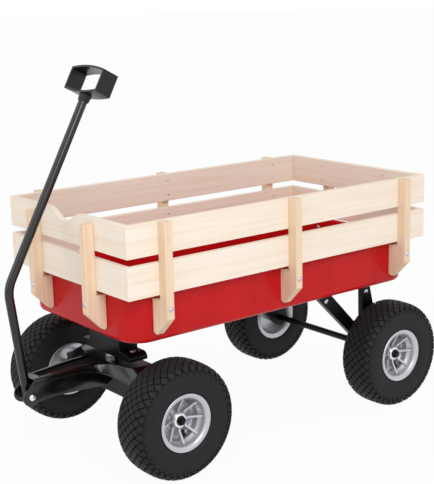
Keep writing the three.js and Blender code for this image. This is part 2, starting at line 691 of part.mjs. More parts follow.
// A hat-shaped carrier under the tray: a narrow open box on a wide foot with rounded shoulders.
function bolsterOutline() {
  const top = TRAY_BOTTOM - SEAT_GAP;
  const shoulder = BOLSTER_BOTTOM + BOLSTER_SHOULDER;
  const narrow = BOLSTER_TOP_WIDTH / 2;
  const wide = BOLSTER_WIDTH / 2;
  const r = BOLSTER_SHOULDER_RADIUS;
  const outline = new THREE.Shape();
  outline.moveTo(-wide, BOLSTER_BOTTOM);
  outline.lineTo(wide, BOLSTER_BOTTOM);
  outline.absarc(wide - r, shoulder - r, r, 0, Math.PI / 2, false);
  outline.lineTo(narrow, shoulder);
  outline.lineTo(narrow, top);
  outline.lineTo(-narrow, top);
  outline.lineTo(-narrow, shoulder);
  outline.absarc(r - wide, shoulder - r, r, Math.PI / 2, Math.PI, false);
  outline.closePath();
  return outline;
}

function makeFrontBolster() {
  const rear = FRONT_AXLE_X - BOLSTER_LENGTH / 2;
  const front = FRONT_AXLE_X + BOLSTER_LENGTH / 2;
  const insideHalf = BOLSTER_TOP_WIDTH / 2 - BOLSTER_SHEET;
  const floor = BOLSTER_BOTTOM + BOLSTER_SHEET;
  const inside = block(
    [rear + BOLSTER_SHEET, -insideHalf, floor],
    [front - BOLSTER_SHEET, insideHalf, TRAY_BOTTOM],
  );
  const bore = rodUp(KINGPIN_RADIUS + BOLT_CLEARANCE, BOLSTER_BOTTOM - 1, floor + 1, FRONT_AXLE_X, 0);
  add('front_bolster', cut(extrudeAlong(bolsterOutline(), rear, front), inside, bore), BLACK_PAINT);
}

function makeBearing(name, bottom) {
  const plate = rodUp(BEARING_RADIUS, bottom, bottom + BEARING_THICKNESS, FRONT_AXLE_X, 0, 24);
  const pin = KINGPIN_RADIUS + BOLT_CLEARANCE;
  const bore = rodUp(pin, bottom - 1, bottom + BEARING_THICKNESS + 1, FRONT_AXLE_X, 0);
  add(name, cut(plate, bore), ZINC);
}

function makeKingpin() {
  const headFace = BOLSTER_BOTTOM + BOLSTER_SHEET + SEAT_GAP;
  const nutTop = YOKE_DECK - YOKE_SHEET - SEAT_GAP;
  const nutBottom = nutTop - KINGPIN_NUT_HEIGHT;
  const shank = rodUp(KINGPIN_RADIUS, nutBottom - 4, headFace + 2, FRONT_AXLE_X, 0);
  const head = rodUp(KINGPIN_HEAD_RADIUS, headFace, headFace + KINGPIN_HEAD_HEIGHT, FRONT_AXLE_X, 0, 6);
  add('kingpin', joined(shank, head), ZINC);
  const nut = rodUp(KINGPIN_HEAD_RADIUS, nutBottom, nutTop, FRONT_AXLE_X, 0, 6);
  const bore = rodUp(KINGPIN_RADIUS + THREAD_CLEARANCE, nutBottom - 1, nutTop + 1, FRONT_AXLE_X, 0);
  add('kingpin_nut', cut(nut, bore), ZINC);
}

// ---------------------------------------------------------------- steering yoke, beam

// One section of the pressing: a deck between sloping sides, with outward lips along the lower edges.
function yokeSection({ x, deckHalf, deckZ, lipHalf, lipZ }) {
  const edge = 2;
  const over = [
    [lipHalf + YOKE_LIP, lipZ],
    [lipHalf + YOKE_LIP, lipZ + YOKE_SHEET],
    [lipHalf, lipZ + YOKE_SHEET],
    [deckHalf + edge / 2, deckZ - edge],
    [deckHalf - edge, deckZ],
  ];
  const under = [
    [deckHalf - edge - YOKE_SHEET / 2, deckZ - YOKE_SHEET],
    [lipHalf - YOKE_SHEET, lipZ],
  ];
  const mirrored = (points) => points.map(([y, z]) => [-y, z]).reverse();
  const outline = [...over, ...mirrored(over), ...mirrored(under), ...under];
  return outline.map(([y, z]) => new THREE.Vector3(x, y, z));
}

// Side plate under the tongue, from the beam to the lug at the handle's pivot, drawn in (x, z).
function lugOutline(noseX) {
  const rear = FRONT_AXLE_X + BEAM_SPAN / 2 + SEAT_GAP;
  const deck = YOKE_SECTIONS[0].deckZ - YOKE_SHEET / 2;
  const outline = new THREE.Shape();
  outline.moveTo(rear, deck);
  outline.lineTo(rear, PLATE_BOTTOM + PLATE_CORNER[1]);
  outline.lineTo(rear + PLATE_CORNER[0], PLATE_BOTTOM);
  outline.lineTo(PIVOT_X - LUG_ROOT, PLATE_BOTTOM + PLATE_RISE);
  outline.absarc(PIVOT_X, PIVOT_HEIGHT, LUG_RADIUS, Math.PI * 1.25, Math.PI * 0.4, false);
  outline.lineTo(noseX - 1, deck);
  outline.closePath();
  return outline;
}

function makeYoke() {
  const noseX = noseStop();
  const wingHalf = AXLE_SUPPORT_Y - YOKE_LIP - BEAM_CHEEK;
  const stations = YOKE_SECTIONS.map(({ ahead, deckHalf, deckZ, lipHalf, lipInset, lipZ }) => ({
    x: ahead === null ? noseX : FRONT_AXLE_X + ahead,
    deckHalf,
    deckZ,
    lipHalf: lipHalf ?? wingHalf - lipInset,
    lipZ: lipZ ?? BEAM_TOP + SEAT_GAP,
  }));
  const skin = loft(stations.map(yokeSection), (p) => new THREE.Vector2(p.y, p.z));
  const lug = lugOutline(noseX);
  const { deckZ, lipZ } = YOKE_SECTIONS[0];
  const nose = block([noseX - YOKE_SHEET, -NOSE_HALF_WIDTH, lipZ], [noseX, NOSE_HALF_WIDTH, deckZ - 1]);
  const body = joined(
    skin,
    extrudeAcross(lug, LUG_INNER, LUG_OUTER),
    extrudeAcross(lug, -LUG_OUTER, -LUG_INNER),
    nose,
  );
  const bolt = PIVOT_BOLT_RADIUS + BOLT_CLEARANCE;
  const pinBore = rodAcross(bolt, -LUG_OUTER - 1, LUG_OUTER + 1, PIVOT_X, PIVOT_HEIGHT, 12);
  const pin = KINGPIN_RADIUS + BOLT_CLEARANCE;
  const kingBore = rodUp(pin, YOKE_DECK - YOKE_SHEET - 1, YOKE_DECK + 1, FRONT_AXLE_X, 0);
  add('steering_yoke', cut(body, pinBore, kingBore), BLACK_PAINT);
}

// Where the back of the upright tube meets the nose of the yoke, which stops the handle there.
function noseStop() {
  const lean = THREE.MathUtils.degToRad(LOWER_LEAN);
  const { deckZ, lipZ } = YOKE_SECTIONS[0];
  const rise = (LOWER_LEAN > 0 ? lipZ : deckZ) - PIVOT_HEIGHT;
  return PIVOT_X + rise * Math.tan(lean) - HANDLE_RADIUS / Math.cos(lean) - SEAT_GAP;
}

// An inverted channel under the yoke, closed at each end by a cheek round the axle.
function makeBeam() {
  const rear = FRONT_AXLE_X - BEAM_SPAN / 2;
  const front = FRONT_AXLE_X + BEAM_SPAN / 2;
  const half = AXLE_SUPPORT_Y;
  const body = block([rear, -half, BEAM_BOTTOM], [front, half, BEAM_TOP]);
  const hollow = block(
    [rear + YOKE_SHEET, -half + BEAM_CHEEK, BEAM_BOTTOM - 1],
    [front - YOKE_SHEET, half - BEAM_CHEEK, BEAM_TOP - YOKE_SHEET],
  );
  const cheeks = [-half, half - BEAM_CHEEK].map(
    (low) => rodAcross(BEAM_SPAN / 2, low, low + BEAM_CHEEK, FRONT_AXLE_X, AXLE_HEIGHT, 20),
  );
  const bore = rodAcross(AXLE_RADIUS + SEAT_GAP, -half - 1, half + 1, FRONT_AXLE_X, AXLE_HEIGHT);
  add('axle_beam', cut(joined(cut(body, hollow), ...cheeks), bore), BLACK_PAINT);
}

// ---------------------------------------------------------------- handle

function directionFromUpright(degrees) {
  const angle = THREE.MathUtils.degToRad(degrees);
  return new THREE.Vector3(Math.sin(angle), 0, Math.cos(angle));
}

const LOWER_DIRECTION = directionFromUpright(LOWER_LEAN);
const UPPER_DIRECTION = directionFromUpright(-UPPER_LEAN);
const PIVOT = new THREE.Vector3(PIVOT_X, 0, PIVOT_HEIGHT);
const BEND_CORNER = PIVOT.clone().addScaledVector(LOWER_DIRECTION, LOWER_LENGTH);
const TUBE_END = BEND_CORNER.clone().addScaledVector(UPPER_DIRECTION, UPPER_LENGTH);

// Centre line of the tube in the plane y = 0: straight, an arc round the bend, straight.
function handlePath() {
  const turn = THREE.MathUtils.degToRad(LOWER_LEAN + UPPER_LEAN);
  const setback = BEND_RADIUS * Math.tan(turn / 2);
  const arcStart = BEND_CORNER.clone().addScaledVector(LOWER_DIRECTION, -setback);
  const inward = new THREE.Vector3(-LOWER_DIRECTION.z, 0, LOWER_DIRECTION.x);
  const centre = arcStart.clone().addScaledVector(inward, BEND_RADIUS);
  const bendSteps = 6;
  const path = [PIVOT.clone().addScaledVector(LOWER_DIRECTION, -HANDLE_TAIL)];
  for (let i = 0; i <= bendSteps; i += 1) {
    const angle = (turn * i) / bendSteps;
    const spoke = inward.clone().multiplyScalar(-Math.cos(angle));
    spoke.addScaledVector(LOWER_DIRECTION, Math.sin(angle));
    path.push(centre.clone().addScaledVector(spoke, BEND_RADIUS));
  }
  path.push(TUBE_END);
  return path;
}

// A round bar along points that lie in a plane across Y.
function barAlong(path, radius, sides) {
  const acrossY = new THREE.Vector3(0, 1, 0);
  const rings = path.map((point, i) => {
    const before = path[Math.max(i - 1, 0)];
    const after = path[Math.min(i + 1, path.length - 1)];
    const tangent = after.clone().sub(before).normalize();
    const normal = tangent.clone().cross(acrossY);
    const ring = [];
    for (let s = 0; s < sides; s += 1) {
      const angle = (2 * Math.PI * s) / sides;
      const spoke = acrossY.clone().multiplyScalar(radius * Math.cos(angle));
      ring.push(point.clone().add(spoke).addScaledVector(normal, radius * Math.sin(angle)));
    }
    return ring;
  });
  return loft(rings, (p) => new THREE.Vector2(p.x, p.y));
}

// The tube with its cross sleeve, which fills the space between the lugs.
function makeHandle() {
  const bar = barAlong(handlePath(), HANDLE_RADIUS, 16);
  const half = LUG_INNER - END_PLAY;
  const sleeve = rodAcross(PIVOT_SLEEVE_RADIUS, -half, half, PIVOT_X, PIVOT_HEIGHT);
  const bore = rodAcross(PIVOT_BOLT_RADIUS + BOLT_CLEARANCE, -half - 1, half + 1, PIVOT_X, PIVOT_HEIGHT, 12);
  add('handle_tube', cut(joined(bar, sleeve), bore), BLACK_PAINT);
}

// Grip: a closed band with crowned top and bottom, and a collar over the end of the tube. It is drawn
// with the tube along local +Z and local +Y across the cart, then leaned back with the tube.
function gripOutline(shrink) {
  const half = GRIP_WIDTH / 2 - shrink;
  const low = shrink;
  const high = GRIP_HEIGHT - shrink;
  const outline = new THREE.Shape();
  outline.moveTo(-half, low + GRIP_CROWN);
  outline.quadraticCurveTo(0, low - GRIP_CROWN, half, low + GRIP_CROWN);
  outline.lineTo(half, high - GRIP_CROWN);
  outline.quadraticCurveTo(0, high + GRIP_CROWN, -half, high - GRIP_CROWN);
  outline.closePath();
  return outline;
}

// A shape drawn in (y, z), thickened by the same amount in front of and behind x = 0.
function bandAlong(shape, depth) {
  return extrudeAlong(shape, -depth / 2, depth / 2);
}

function makeGrip() {
  const band = bandAlong(gripOutline(0), GRIP_DEPTH);
  const opening = bandAlong(gripOutline(GRIP_BAND), GRIP_DEPTH * 2);
  const overlap = GRIP_BAND / 2;
  const collar = new THREE.CylinderGeometry(
    COLLAR_RADIUS,
    HANDLE_RADIUS + GRIP_BAND / 2,
    COLLAR_LENGTH + overlap,
    16,
  );
  collar.rotateX(Math.PI / 2).translate(0, 0, (overlap - COLLAR_LENGTH) / 2);
  const socket = rodUp(HANDLE_RADIUS + SEAT_GAP, -COLLAR_LENGTH - 1, -SEAT_GAP, 0, 0);
  const grip = add('grip', cut(joined(cut(band, opening), collar), socket), GRIP_PLASTIC);
  grip.position.copy(TUBE_END).addScaledVector(UPPER_DIRECTION, 2 * SEAT_GAP);
  grip.rotation.y = -THREE.MathUtils.degToRad(UPPER_LEAN);
}

function makePivotBolt() {
  const face = LUG_OUTER + SEAT_GAP;
  const tail = -face - PIVOT_NUT_HEIGHT - 2;
  const profile = [
    [0, tail],
    [PIVOT_BOLT_RADIUS, tail],
    [PIVOT_BOLT_RADIUS, face],
    [PIVOT_HEAD_RADIUS, face],
    [PIVOT_HEAD_RADIUS * 0.9, face + PIVOT_HEAD_HEIGHT * 0.5],
    [PIVOT_HEAD_RADIUS * 0.55, face + PIVOT_HEAD_HEIGHT * 0.9],
    [0, face + PIVOT_HEAD_HEIGHT],
  ];
  const bolt = new THREE.LatheGeometry(profile.map(([r, y]) => new THREE.Vector2(r, y)), 12);
  add('pivot_bolt', geometryFrom(solidFrom(bolt.translate(PIVOT_X, 0, PIVOT_HEIGHT))), ZINC);
  const nutBottom = -face - PIVOT_NUT_HEIGHT;
  const nut = rodAcross(PIVOT_HEAD_RADIUS, nutBottom, -face, PIVOT_X, PIVOT_HEIGHT, 6);
  const bore = rodAcross(
    PIVOT_BOLT_RADIUS + THREAD_CLEARANCE,
    nutBottom - 1,
    1 - face,
    PIVOT_X,
    PIVOT_HEIGHT,
    12,
  );
  add('pivot_nut', cut(nut, bore), ZINC);
}

// ---------------------------------------------------------------- assembly

makeTray();
makeBoards();
for (const post of POSTS) {
  makePost(post);
  makePostBolt(post);
}
makeRearBracket('rear_bracket_left', 1);
makeRearBracket('rear_bracket_right', -1);
makeAxle('rear_axle', REAR_AXLE_X);
makeFrontBolster();
makeBearing('bearing_plate_upper', UPPER_BEARING_BOTTOM);
makeBearing('bearing_plate_lower', LOWER_BEARING_BOTTOM);
makeKingpin();
makeYoke();
makeBeam();
makeAxle('front_axle', FRONT_AXLE_X);
makeHandle();
makeGrip();
makePivotBolt();
for (const [place, x] of [['front', FRONT_AXLE_X], ['rear', REAR_AXLE_X]]) {
  makeWheel(`${place}_left`, x, 1);
  makeWheel(`${place}_right`, x, -1);
}

cart.updateMatrixWorld(true);
const bounds = new THREE.Box3().setFromObject(cart, true);
cart.position.set(-(bounds.min.x + bounds.max.x) / 2, -(bounds.min.y + bounds.max.y) / 2, -bounds.min.z);

export default cart;
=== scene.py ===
"""Garden cart: the finished surfaces, made round the fixed frame. Metres, +X forward, +Y left, +Z up."""
import json
import math

import bmesh
import bpy
from bpy.props import FloatProperty, FloatVectorProperty, IntProperty, PointerProperty
from mathutils import Matrix, Vector


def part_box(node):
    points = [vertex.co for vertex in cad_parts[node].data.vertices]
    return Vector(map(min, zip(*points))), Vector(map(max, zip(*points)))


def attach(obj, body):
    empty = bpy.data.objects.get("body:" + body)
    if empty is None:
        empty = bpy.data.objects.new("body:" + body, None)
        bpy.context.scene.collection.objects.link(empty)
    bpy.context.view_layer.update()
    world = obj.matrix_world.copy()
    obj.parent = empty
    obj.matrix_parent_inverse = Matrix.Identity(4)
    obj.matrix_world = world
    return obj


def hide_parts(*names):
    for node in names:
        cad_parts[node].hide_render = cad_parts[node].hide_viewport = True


bl_info = {
    "name": "Garden Cart",
    "version": (1, 0, 0),
    "blender": (4, 5, 0),
    "location": "View3D > Sidebar > Garden Cart",
    "description": "Builds a garden cart with a steel tray, wooden rails, pneumatic tyres and a pull handle",
    "category": "Object",
}

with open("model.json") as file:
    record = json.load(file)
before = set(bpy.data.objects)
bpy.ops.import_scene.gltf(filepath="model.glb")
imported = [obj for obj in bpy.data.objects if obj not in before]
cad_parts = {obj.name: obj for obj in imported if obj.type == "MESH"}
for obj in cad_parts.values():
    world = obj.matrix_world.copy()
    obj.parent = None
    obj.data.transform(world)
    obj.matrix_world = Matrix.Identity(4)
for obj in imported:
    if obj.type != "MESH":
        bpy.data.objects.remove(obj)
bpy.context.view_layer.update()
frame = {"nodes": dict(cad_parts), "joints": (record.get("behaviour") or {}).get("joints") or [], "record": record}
JOINTS = {joint["name"]: joint for joint in frame["joints"]}
NODE_BODY = {
    node: body
    for body, nodes in frame["record"]["behaviour"]["bodies"].items()
    for node in nodes
}

MM = 0.001
X_AXIS = Vector((1, 0, 0))
Y_AXIS = Vector((0, 1, 0))
Z_AXIS = Vector((0, 0, 1))
WHEELS = ("front_left", "front_right", "rear_left", "rear_right")
SIDE_POSTS = [f"{side}_{place}" for side in ("left", "right") for place in ("front", "middle", "rear")]
END_POSTS = [f"{end}_{side}" for end in ("front", "rear") for side in ("left", "right")]
BOARDS = [f"rail_{side}_{row}" for side in ("left", "right", "front", "rear") for row in ("upper", "lower")]
EASED_ABOVE = 28          # edges sharper than this are rounded, degrees
PARTED_ABOVE = 35         # smooth shading stops at edges sharper than this, degrees

# Sockets of a colour Mix node, which share their names with the sockets for other kinds of data.
MIX_FACTOR, MIX_FIRST, MIX_SECOND, MIX_RESULT = 0, 6, 7, 2


def linear(hex_colour):
    """An sRGB hex colour as linear red, green, blue and alpha."""
    channels = [int(hex_colour[i:i + 2], 16) / 255 for i in (1, 3, 5)]
    return [c / 12.92 if c <= 0.04045 else ((c + 0.055) / 1.055) ** 2.4 for c in channels] + [1.0]


def length(name, millimetres, description):
    """A size property, given in millimetres and kept in metres."""
    default = millimetres * MM
    return FloatProperty(
        name=name, description=description, default=default, min=0.0, subtype="DISTANCE", unit="LENGTH"
    )


def colour(name, hex_colour, description):
    """A colour property, given as sRGB hex."""
    default = linear(hex_colour)
    return FloatVectorProperty(
        name=name, description=description, default=default, size=4, min=0.0, max=1.0, subtype="COLOR"
    )


# ---------------------------------------------------------------- sizes and colours


class CartSizes(bpy.types.PropertyGroup):
    """Sizes of the fine shapes that the frame does not fix."""

    tray_wall: length("Tray wall", 2.0, "Sheet thickness of the tray")
    tray_corner: length("Tray corner", 56.0, "Radius of the tray's upright corners")
    tray_edge: length("Tray edge", 12.0, "Radius between the tray's wall and its bottom")
    tray_bead: length("Rim bead", 4.8, "Radius of the tray's rolled rim")
    board_edge: length("Board edge", 1.4, "Rounding along the boards' edges")
    post_edge: length("Post edge", 1.2, "Rounding along the posts' edges")
    steel_edge: length("Steel edge", 0.8, "Rounding along pressed and sheared steel")
    grip_edge: length("Grip edge", 1.5, "Rounding along the grip's edges")
    handle_tube: length("Handle tube", 9.5, "Outer radius of the handle tube")
    handle_bend: length("Handle bend", 70.0, "Radius of the bend in the handle")
    tread_height: length("Tread height", 5.4, "Height of a tread block")
    tread_blocks: IntProperty(name="Tread blocks", description="Blocks in one row", default=40, min=8, max=60)
    rib_count: IntProperty(name="Rim ribs", description="Radial ribs in a rim", default=8, min=3, max=12)
    screw_head: length("Screw head", 2.8, "Radius of the board screws' heads")


class CartColours(bpy.types.PropertyGroup):
    """Colours of the finishes."""

    enamel: colour("Enamel", "#C8181B", "Red stove enamel of the tray")
    # The darker red of the tray's soft streaks: thicker enamel in the runs, and painted shade beside the painted
    # highlights.
    enamel_deep_and_shade: colour("Enamel, deep", "#AE090C", "Red where the enamel runs thicker")
    pine_pale: colour("Pine, pale", "#F4E8DA", "Early wood of the rails")
    pine_warm: colour("Pine, warm", "#EFDDC8", "Late wood of the rails")
    stake_pale: colour("Stakes, pale", "#EDD3B8", "Early wood of the stakes")
    stake_warm: colour("Stakes, warm", "#E4C6A6", "Late wood of the stakes")
    powder: colour("Powder coat", "#060607", "Black coat of the steel parts")
    rubber: colour("Tyre rubber", "#1F1F21", "Black rubber of the tyres")
    silver: colour("Silver paint", "#C2C3C8", "Paint of the rims")
    zinc: colour("Zinc", "#C6C9CD", "Plated fasteners")
    chrome: colour("Chrome", "#E4E6E8", "Hub washers and bolt heads")
    plastic: colour("Grip plastic", "#101011", "Moulded plastic of the grip")
    floor: colour("Floor", "#F4F4F4", "Studio floor")


def sizes():
    return bpy.context.scene.cart_sizes


def colours():
    return bpy.context.scene.cart_colours


# ---------------------------------------------------------------- node and mesh helpers


def add_node(tree, kind, settings=None, inputs=None):
    """Adds a node with its settings, and with a value or a link for each named input."""
    node = tree.nodes.new(kind)
    for name, value in (settings or {}).items():
        setattr(node, name, value)
    for name, value in (inputs or {}).items():
        if isinstance(value, bpy.types.NodeSocket):
            tree.links.new(value, node.inputs[name])
        else:
            node.inputs[name].default_value = value
    return node


def set_ramp(ramp, stops):
    """Gives a colour ramp its stops, each a place and a linear colour."""
    elements = ramp.color_ramp.elements
    while len(elements) < len(stops):
        elements.new(0.5)
    for element, (place, value) in zip(elements, stops):
        element.position = place
        element.color = value


def material(name, build):
    """The material of that name, built once by build(tree), which returns the surface's shader node."""
    found = bpy.data.materials.get(name)
    if found:
        return found
    made = bpy.data.materials.new(name)
    made.use_nodes = True
    tree = made.node_tree
    tree.nodes.clear()
    add_node(tree, "ShaderNodeOutputMaterial", inputs={"Surface": build(tree).outputs[0]})
    return made


def finish_piece(piece, finish, body, stands_for=()):
    """Gives a new piece its material and body, and hides the CAD nodes that it stands for."""
    if finish is not None:
        piece.data.materials.clear()
        piece.data.materials.append(finish)
    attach(piece, body)
    if stands_for:
        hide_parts(*stands_for)


def object_from(bm, name, smooth_angle=None):
    """A new object from a bmesh, with smooth faces that part at edges sharper than smooth_angle degrees."""
    mesh = bpy.data.meshes.new(name)
    if smooth_angle is not None:
        for face in bm.faces:
            face.smooth = True
    bm.to_mesh(mesh)
    bm.free()
    if smooth_angle is not None:
        mesh.set_sharp_from_angle(angle=math.radians(smooth_angle))
    piece = bpy.data.objects.new(name, mesh)
    bpy.context.scene.collection.objects.link(piece)
    return piece


def absorb(bm, other):
    """Adds the other bmesh's faces to bm, and frees the other."""
    scratch = bpy.data.meshes.new("scratch")
    other.to_mesh(scratch)
    other.free()
    bm.from_mesh(scratch)
    bpy.data.meshes.remove(scratch)


def in_metres(points):
    """Pairs of numbers in millimetres, turned to metres."""
    return [(a * MM, b * MM) for a, b in points]


def dome(radius, height, face, steps):
    """Profile of a domed head that rises from a face, without its top point."""
    turns = (math.pi / 2 * i / steps for i in range(steps))
    return [(radius * math.cos(a), face + height * math.sin(a)) for a in turns]


def turned(profile, centre, axis, segments=48, closed=False):
    """A solid of revolution. The profile holds points of radius and distance along the axis."""
    bm = bmesh.new()
    turn = axis.to_track_quat("Z", "Y").to_matrix()
    rings = []
    for radius, along in profile:
        if radius < 1e-7:
            rings.append([bm.verts.new(centre + turn @ Vector((0, 0, along)))])
            continue
        ring = []
        for i in range(segments):
            angle = 2 * math.pi * i / segments
            local = Vector((radius * math.cos(angle), radius * math.sin(angle), along))
            ring.append(bm.verts.new(centre + turn @ local))
        rings.append(ring)
    pairs = list(zip(rings, rings[1:]))
    if closed:
        pairs.append((rings[-1], rings[0]))
    for lower, upper in pairs:
        for i in range(segments):
            corners = [lower[i % len(lower)], lower[(i + 1) % len(lower)]]
            corners += [upper[(i + 1) % len(upper)], upper[i % len(upper)]]
            unique = list(dict.fromkeys(corners))
            if len(unique) > 2:
                bm.faces.new(unique)
    bmesh.ops.recalc_face_normals(bm, faces=bm.faces)
    return bm


def swept(path, radius, across, segments=32):
    """A round bar along points that lie in a plane whose normal is across."""
    bm = bmesh.new()
    rings = []
    for i, point in enumerate(path):
        tangent = (path[min(i + 1, len(path) - 1)] - path[max(i - 1, 0)]).normalized()
        normal = tangent.cross(across)
        ring = []
        for k in range(segments):
            angle = 2 * math.pi * k / segments
            spoke = across * math.cos(angle) + normal * math.sin(angle)
            ring.append(bm.verts.new(point + spoke * radius))
        rings.append(ring)
    for lower, upper in zip(rings, rings[1:]):
        for k in range(segments):
            bm.faces.new((lower[k], lower[(k + 1) % segments], upper[(k + 1) % segments], upper[k]))
    bm.faces.new(rings[0])
    bm.faces.new(rings[-1])
    bmesh.ops.recalc_face_normals(bm, faces=bm.faces)
    return bm


def skinned(rings):
    """A closed skin over rings of points with equal counts."""
    bm = bmesh.new()
    made = [[bm.verts.new(p) for p in ring] for ring in rings]
    count = len(made[0])
    for lower, upper in zip(made, made[1:]):
        for k in range(count):
            bm.faces.new((lower[k], lower[(k + 1) % count], upper[(k + 1) % count], upper[k]))
    bm.faces.new(made[0])
    bm.faces.new(made[-1])
    bmesh.ops.recalc_face_normals(bm, faces=bm.faces)
    return bm


def plate(outline, thickness_axis, low, high, edge):
    """A flat plate from an outline of points, thickened from low to high along an axis, with eased edges."""
    bm = skinned([[point + thickness_axis * level for point in outline] for level in (low, high)])
    ease(bm, edge)
    return bm


def ease(bm, edge):
    """Rounds every sharp edge."""
    least = math.radians(EASED_ABOVE)
    sharp = [e for e in bm.edges if len(e.link_faces) == 2 and e.calc_face_angle(0) > least]
    made = bmesh.ops.bevel(
        bm,
        geom=sharp,
        offset=edge,
        offset_type="OFFSET",
        segments=2,
        profile=0.5,
        affect="EDGES",
        clamp_overlap=True,
    )
    for face in made["faces"]:
        face.smooth = True


def eased_copy(node, edge, name, finish):
    """A piece with a CAD node's shape and rounded edges, which stands for that node."""
    bm = bmesh.new()
    bm.from_mesh(frame["nodes"][node].data)
    bmesh.ops.remove_doubles(bm, verts=bm.verts, dist=1e-6)
    bmesh.ops.dissolve_limit(bm, angle_limit=math.radians(1.0), verts=bm.verts, edges=bm.edges)
    ease(bm, edge)
    finish_piece(object_from(bm, name), finish, NODE_BODY[node], (node,))


def middle(node):
    """The middle of a CAD node's box."""
    low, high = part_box(node)
    return (low + high) / 2


def baked(piece, name):
    """The evaluated mesh of a piece with a modifier, as a plain object. The first object goes."""
    graph = bpy.context.evaluated_depsgraph_get()
    mesh = bpy.data.meshes.new_from_object(piece.evaluated_get(graph), depsgraph=graph)
    bpy.data.objects.remove(piece)
    made = bpy.data.objects.new(name, mesh)
    mesh.name = name
    bpy.context.scene.collection.objects.link(made)
    return made


# ---------------------------------------------------------------- materials


def coordinates(tree, scale=(1, 1, 1)):
    """Object coordinates, stretched by a scale for each axis."""
    place = add_node(tree, "ShaderNodeTexCoord").outputs["Object"]
    return add_node(tree, "ShaderNodeMapping", inputs={"Vector": place, "Scale": scale}).outputs["Vector"]


def red_enamel():
    """Stove enamel sprayed on pressed steel: a deep gloss with the pebble of a thick coat, and soft streaks down
    the walls that are partly runs of the coat and partly painted highlight.
    """

    def build(tree):
        # Soft streaks about 60 mm apart, long down the walls: runs of the coat, and painted highlight where the
        # red turns lighter.
        runs = add_node(tree, "ShaderNodeTexNoise", inputs={
            "Vector": coordinates(tree, (16, 16, 1.5)), "Scale": 1.0, "Detail": 2.0,
        })
        tone = add_node(tree, "ShaderNodeMix", {"data_type": "RGBA"}, {
            MIX_FACTOR: runs.outputs["Fac"], MIX_FIRST: colours().enamel_deep_and_shade, MIX_SECOND: colours().enamel,
        })
        # Orange peel about 1.5 mm across.
        peel = add_node(tree, "ShaderNodeTexNoise", inputs={
            "Vector": coordinates(tree), "Scale": 650.0, "Detail": 1.0,
        })
        pebble = add_node(tree, "ShaderNodeBump", inputs={
            "Height": peel.outputs["Fac"], "Strength": 0.06, "Distance": 0.0004,
        })
        return add_node(tree, "ShaderNodeBsdfPrincipled", inputs={
            "Base Color": tone.outputs[MIX_RESULT],
            "Roughness": 0.36,
            "Specular IOR Level": 0.12,
            "Coat Weight": 0.12,
            "Coat Roughness": 0.08,
            "Normal": pebble.outputs["Normal"],
        })

    return material("stove_enamel_red", build)


def pine(direction):
    """Planed pine, unfinished: pale early wood, warmer lines of late wood along the grain, and fine pores."""
    stretch = {"x": (0.9, 26, 26), "y": (26, 0.9, 26), "z": (26, 26, 0.9)}[direction]
    c = colours()
    pale, warm = (c.stake_pale, c.stake_warm) if direction == "z" else (c.pine_pale, c.pine_warm)

    def build(tree):
        grain = coordinates(tree, stretch)
        # Growth lines about 10 mm apart that wander a little along the board.
        lines = add_node(tree, "ShaderNodeTexNoise", inputs={
            "Vector": grain, "Scale": 4.0, "Detail": 3.0, "Distortion": 0.4,
        })
        figure = add_node(tree, "ShaderNodeValToRGB", inputs={"Fac": lines.outputs["Fac"]})
        set_ramp(figure, [(0.34, warm), (0.58, pale)])
        # Pores about half a millimetre wide and two centimetres long.
        pores = add_node(tree, "ShaderNodeTexNoise", inputs={"Vector": grain, "Scale": 60.0, "Detail": 2.0})
        shade = add_node(tree, "ShaderNodeMapRange", inputs={
            "Value": pores.outputs["Fac"], "To Min": 0.93, "To Max": 1.03,
        })
        # Broad change from board to board.
        broad = add_node(tree, "ShaderNodeTexNoise", inputs={
            "Vector": coordinates(tree), "Scale": 5.0, "Detail": 1.0,
        })
        warmth = add_node(tree, "ShaderNodeMapRange", inputs={
            "Value": broad.outputs["Fac"], "To Min": 0.0, "To Max": 0.35,
        })
        tone = add_node(tree, "ShaderNodeMix", {"data_type": "RGBA"}, {
            MIX_FACTOR: warmth.outputs["Result"], MIX_FIRST: figure.outputs["Color"], MIX_SECOND: pale,
        })
        pored = add_node(tree, "ShaderNodeVectorMath", {"operation": "SCALE"}, {
            0: tone.outputs[MIX_RESULT], "Scale": shade.outputs["Result"],
        })
        open_grain = add_node(tree, "ShaderNodeBump", inputs={
            "Height": pores.outputs["Fac"], "Strength": 0.25, "Distance": 0.0003,
        })
        return add_node(tree, "ShaderNodeBsdfPrincipled", inputs={
            "Base Color": pored.outputs["Vector"],
            "Roughness": 0.7,
            "Specular IOR Level": 0.2,
            "Normal": open_grain.outputs["Normal"],
        })

    return material(f"planed_pine_{direction}", build)


def textured_black(name, base, roughness, specular, grain_scale, strength, distance):
    """A black surface of one colour and gloss, over a fine, even texture."""

    def build(tree):
        grain = add_node(tree, "ShaderNodeTexNoise", inputs={
            "Vector": coordinates(tree), "Scale": grain_scale, "Detail": 1.0,
        })
        texture = add_node(tree, "ShaderNodeBump", inputs={
            "Height": grain.outputs["Fac"], "Strength": strength, "Distance": distance,
        })
        return add_node(tree, "ShaderNodeBsdfPrincipled", inputs={
            "Base Color": base,
            "Roughness": roughness,
            "Specular IOR Level": specular,
            "Normal": texture.outputs["Normal"],
        })

    return material(name, build)


def black_coat(name, roughness, specular):
    """Black coat baked on steel, with a slight pebble about 1 mm across."""
    return textured_black(name, colours().powder, roughness, specular, 900.0, 0.08, 0.0003)


def powder_coat():
    """Powder coat: a half gloss that keeps the running gear quiet."""
    return black_coat("powder_coat_black", 0.34, 0.18)


def gloss_coat():
    """The thicker, wetter coat of the yoke and the handle, which shows its edges as bright lines."""
    return black_coat("gloss_coat_black", 0.22, 0.6)


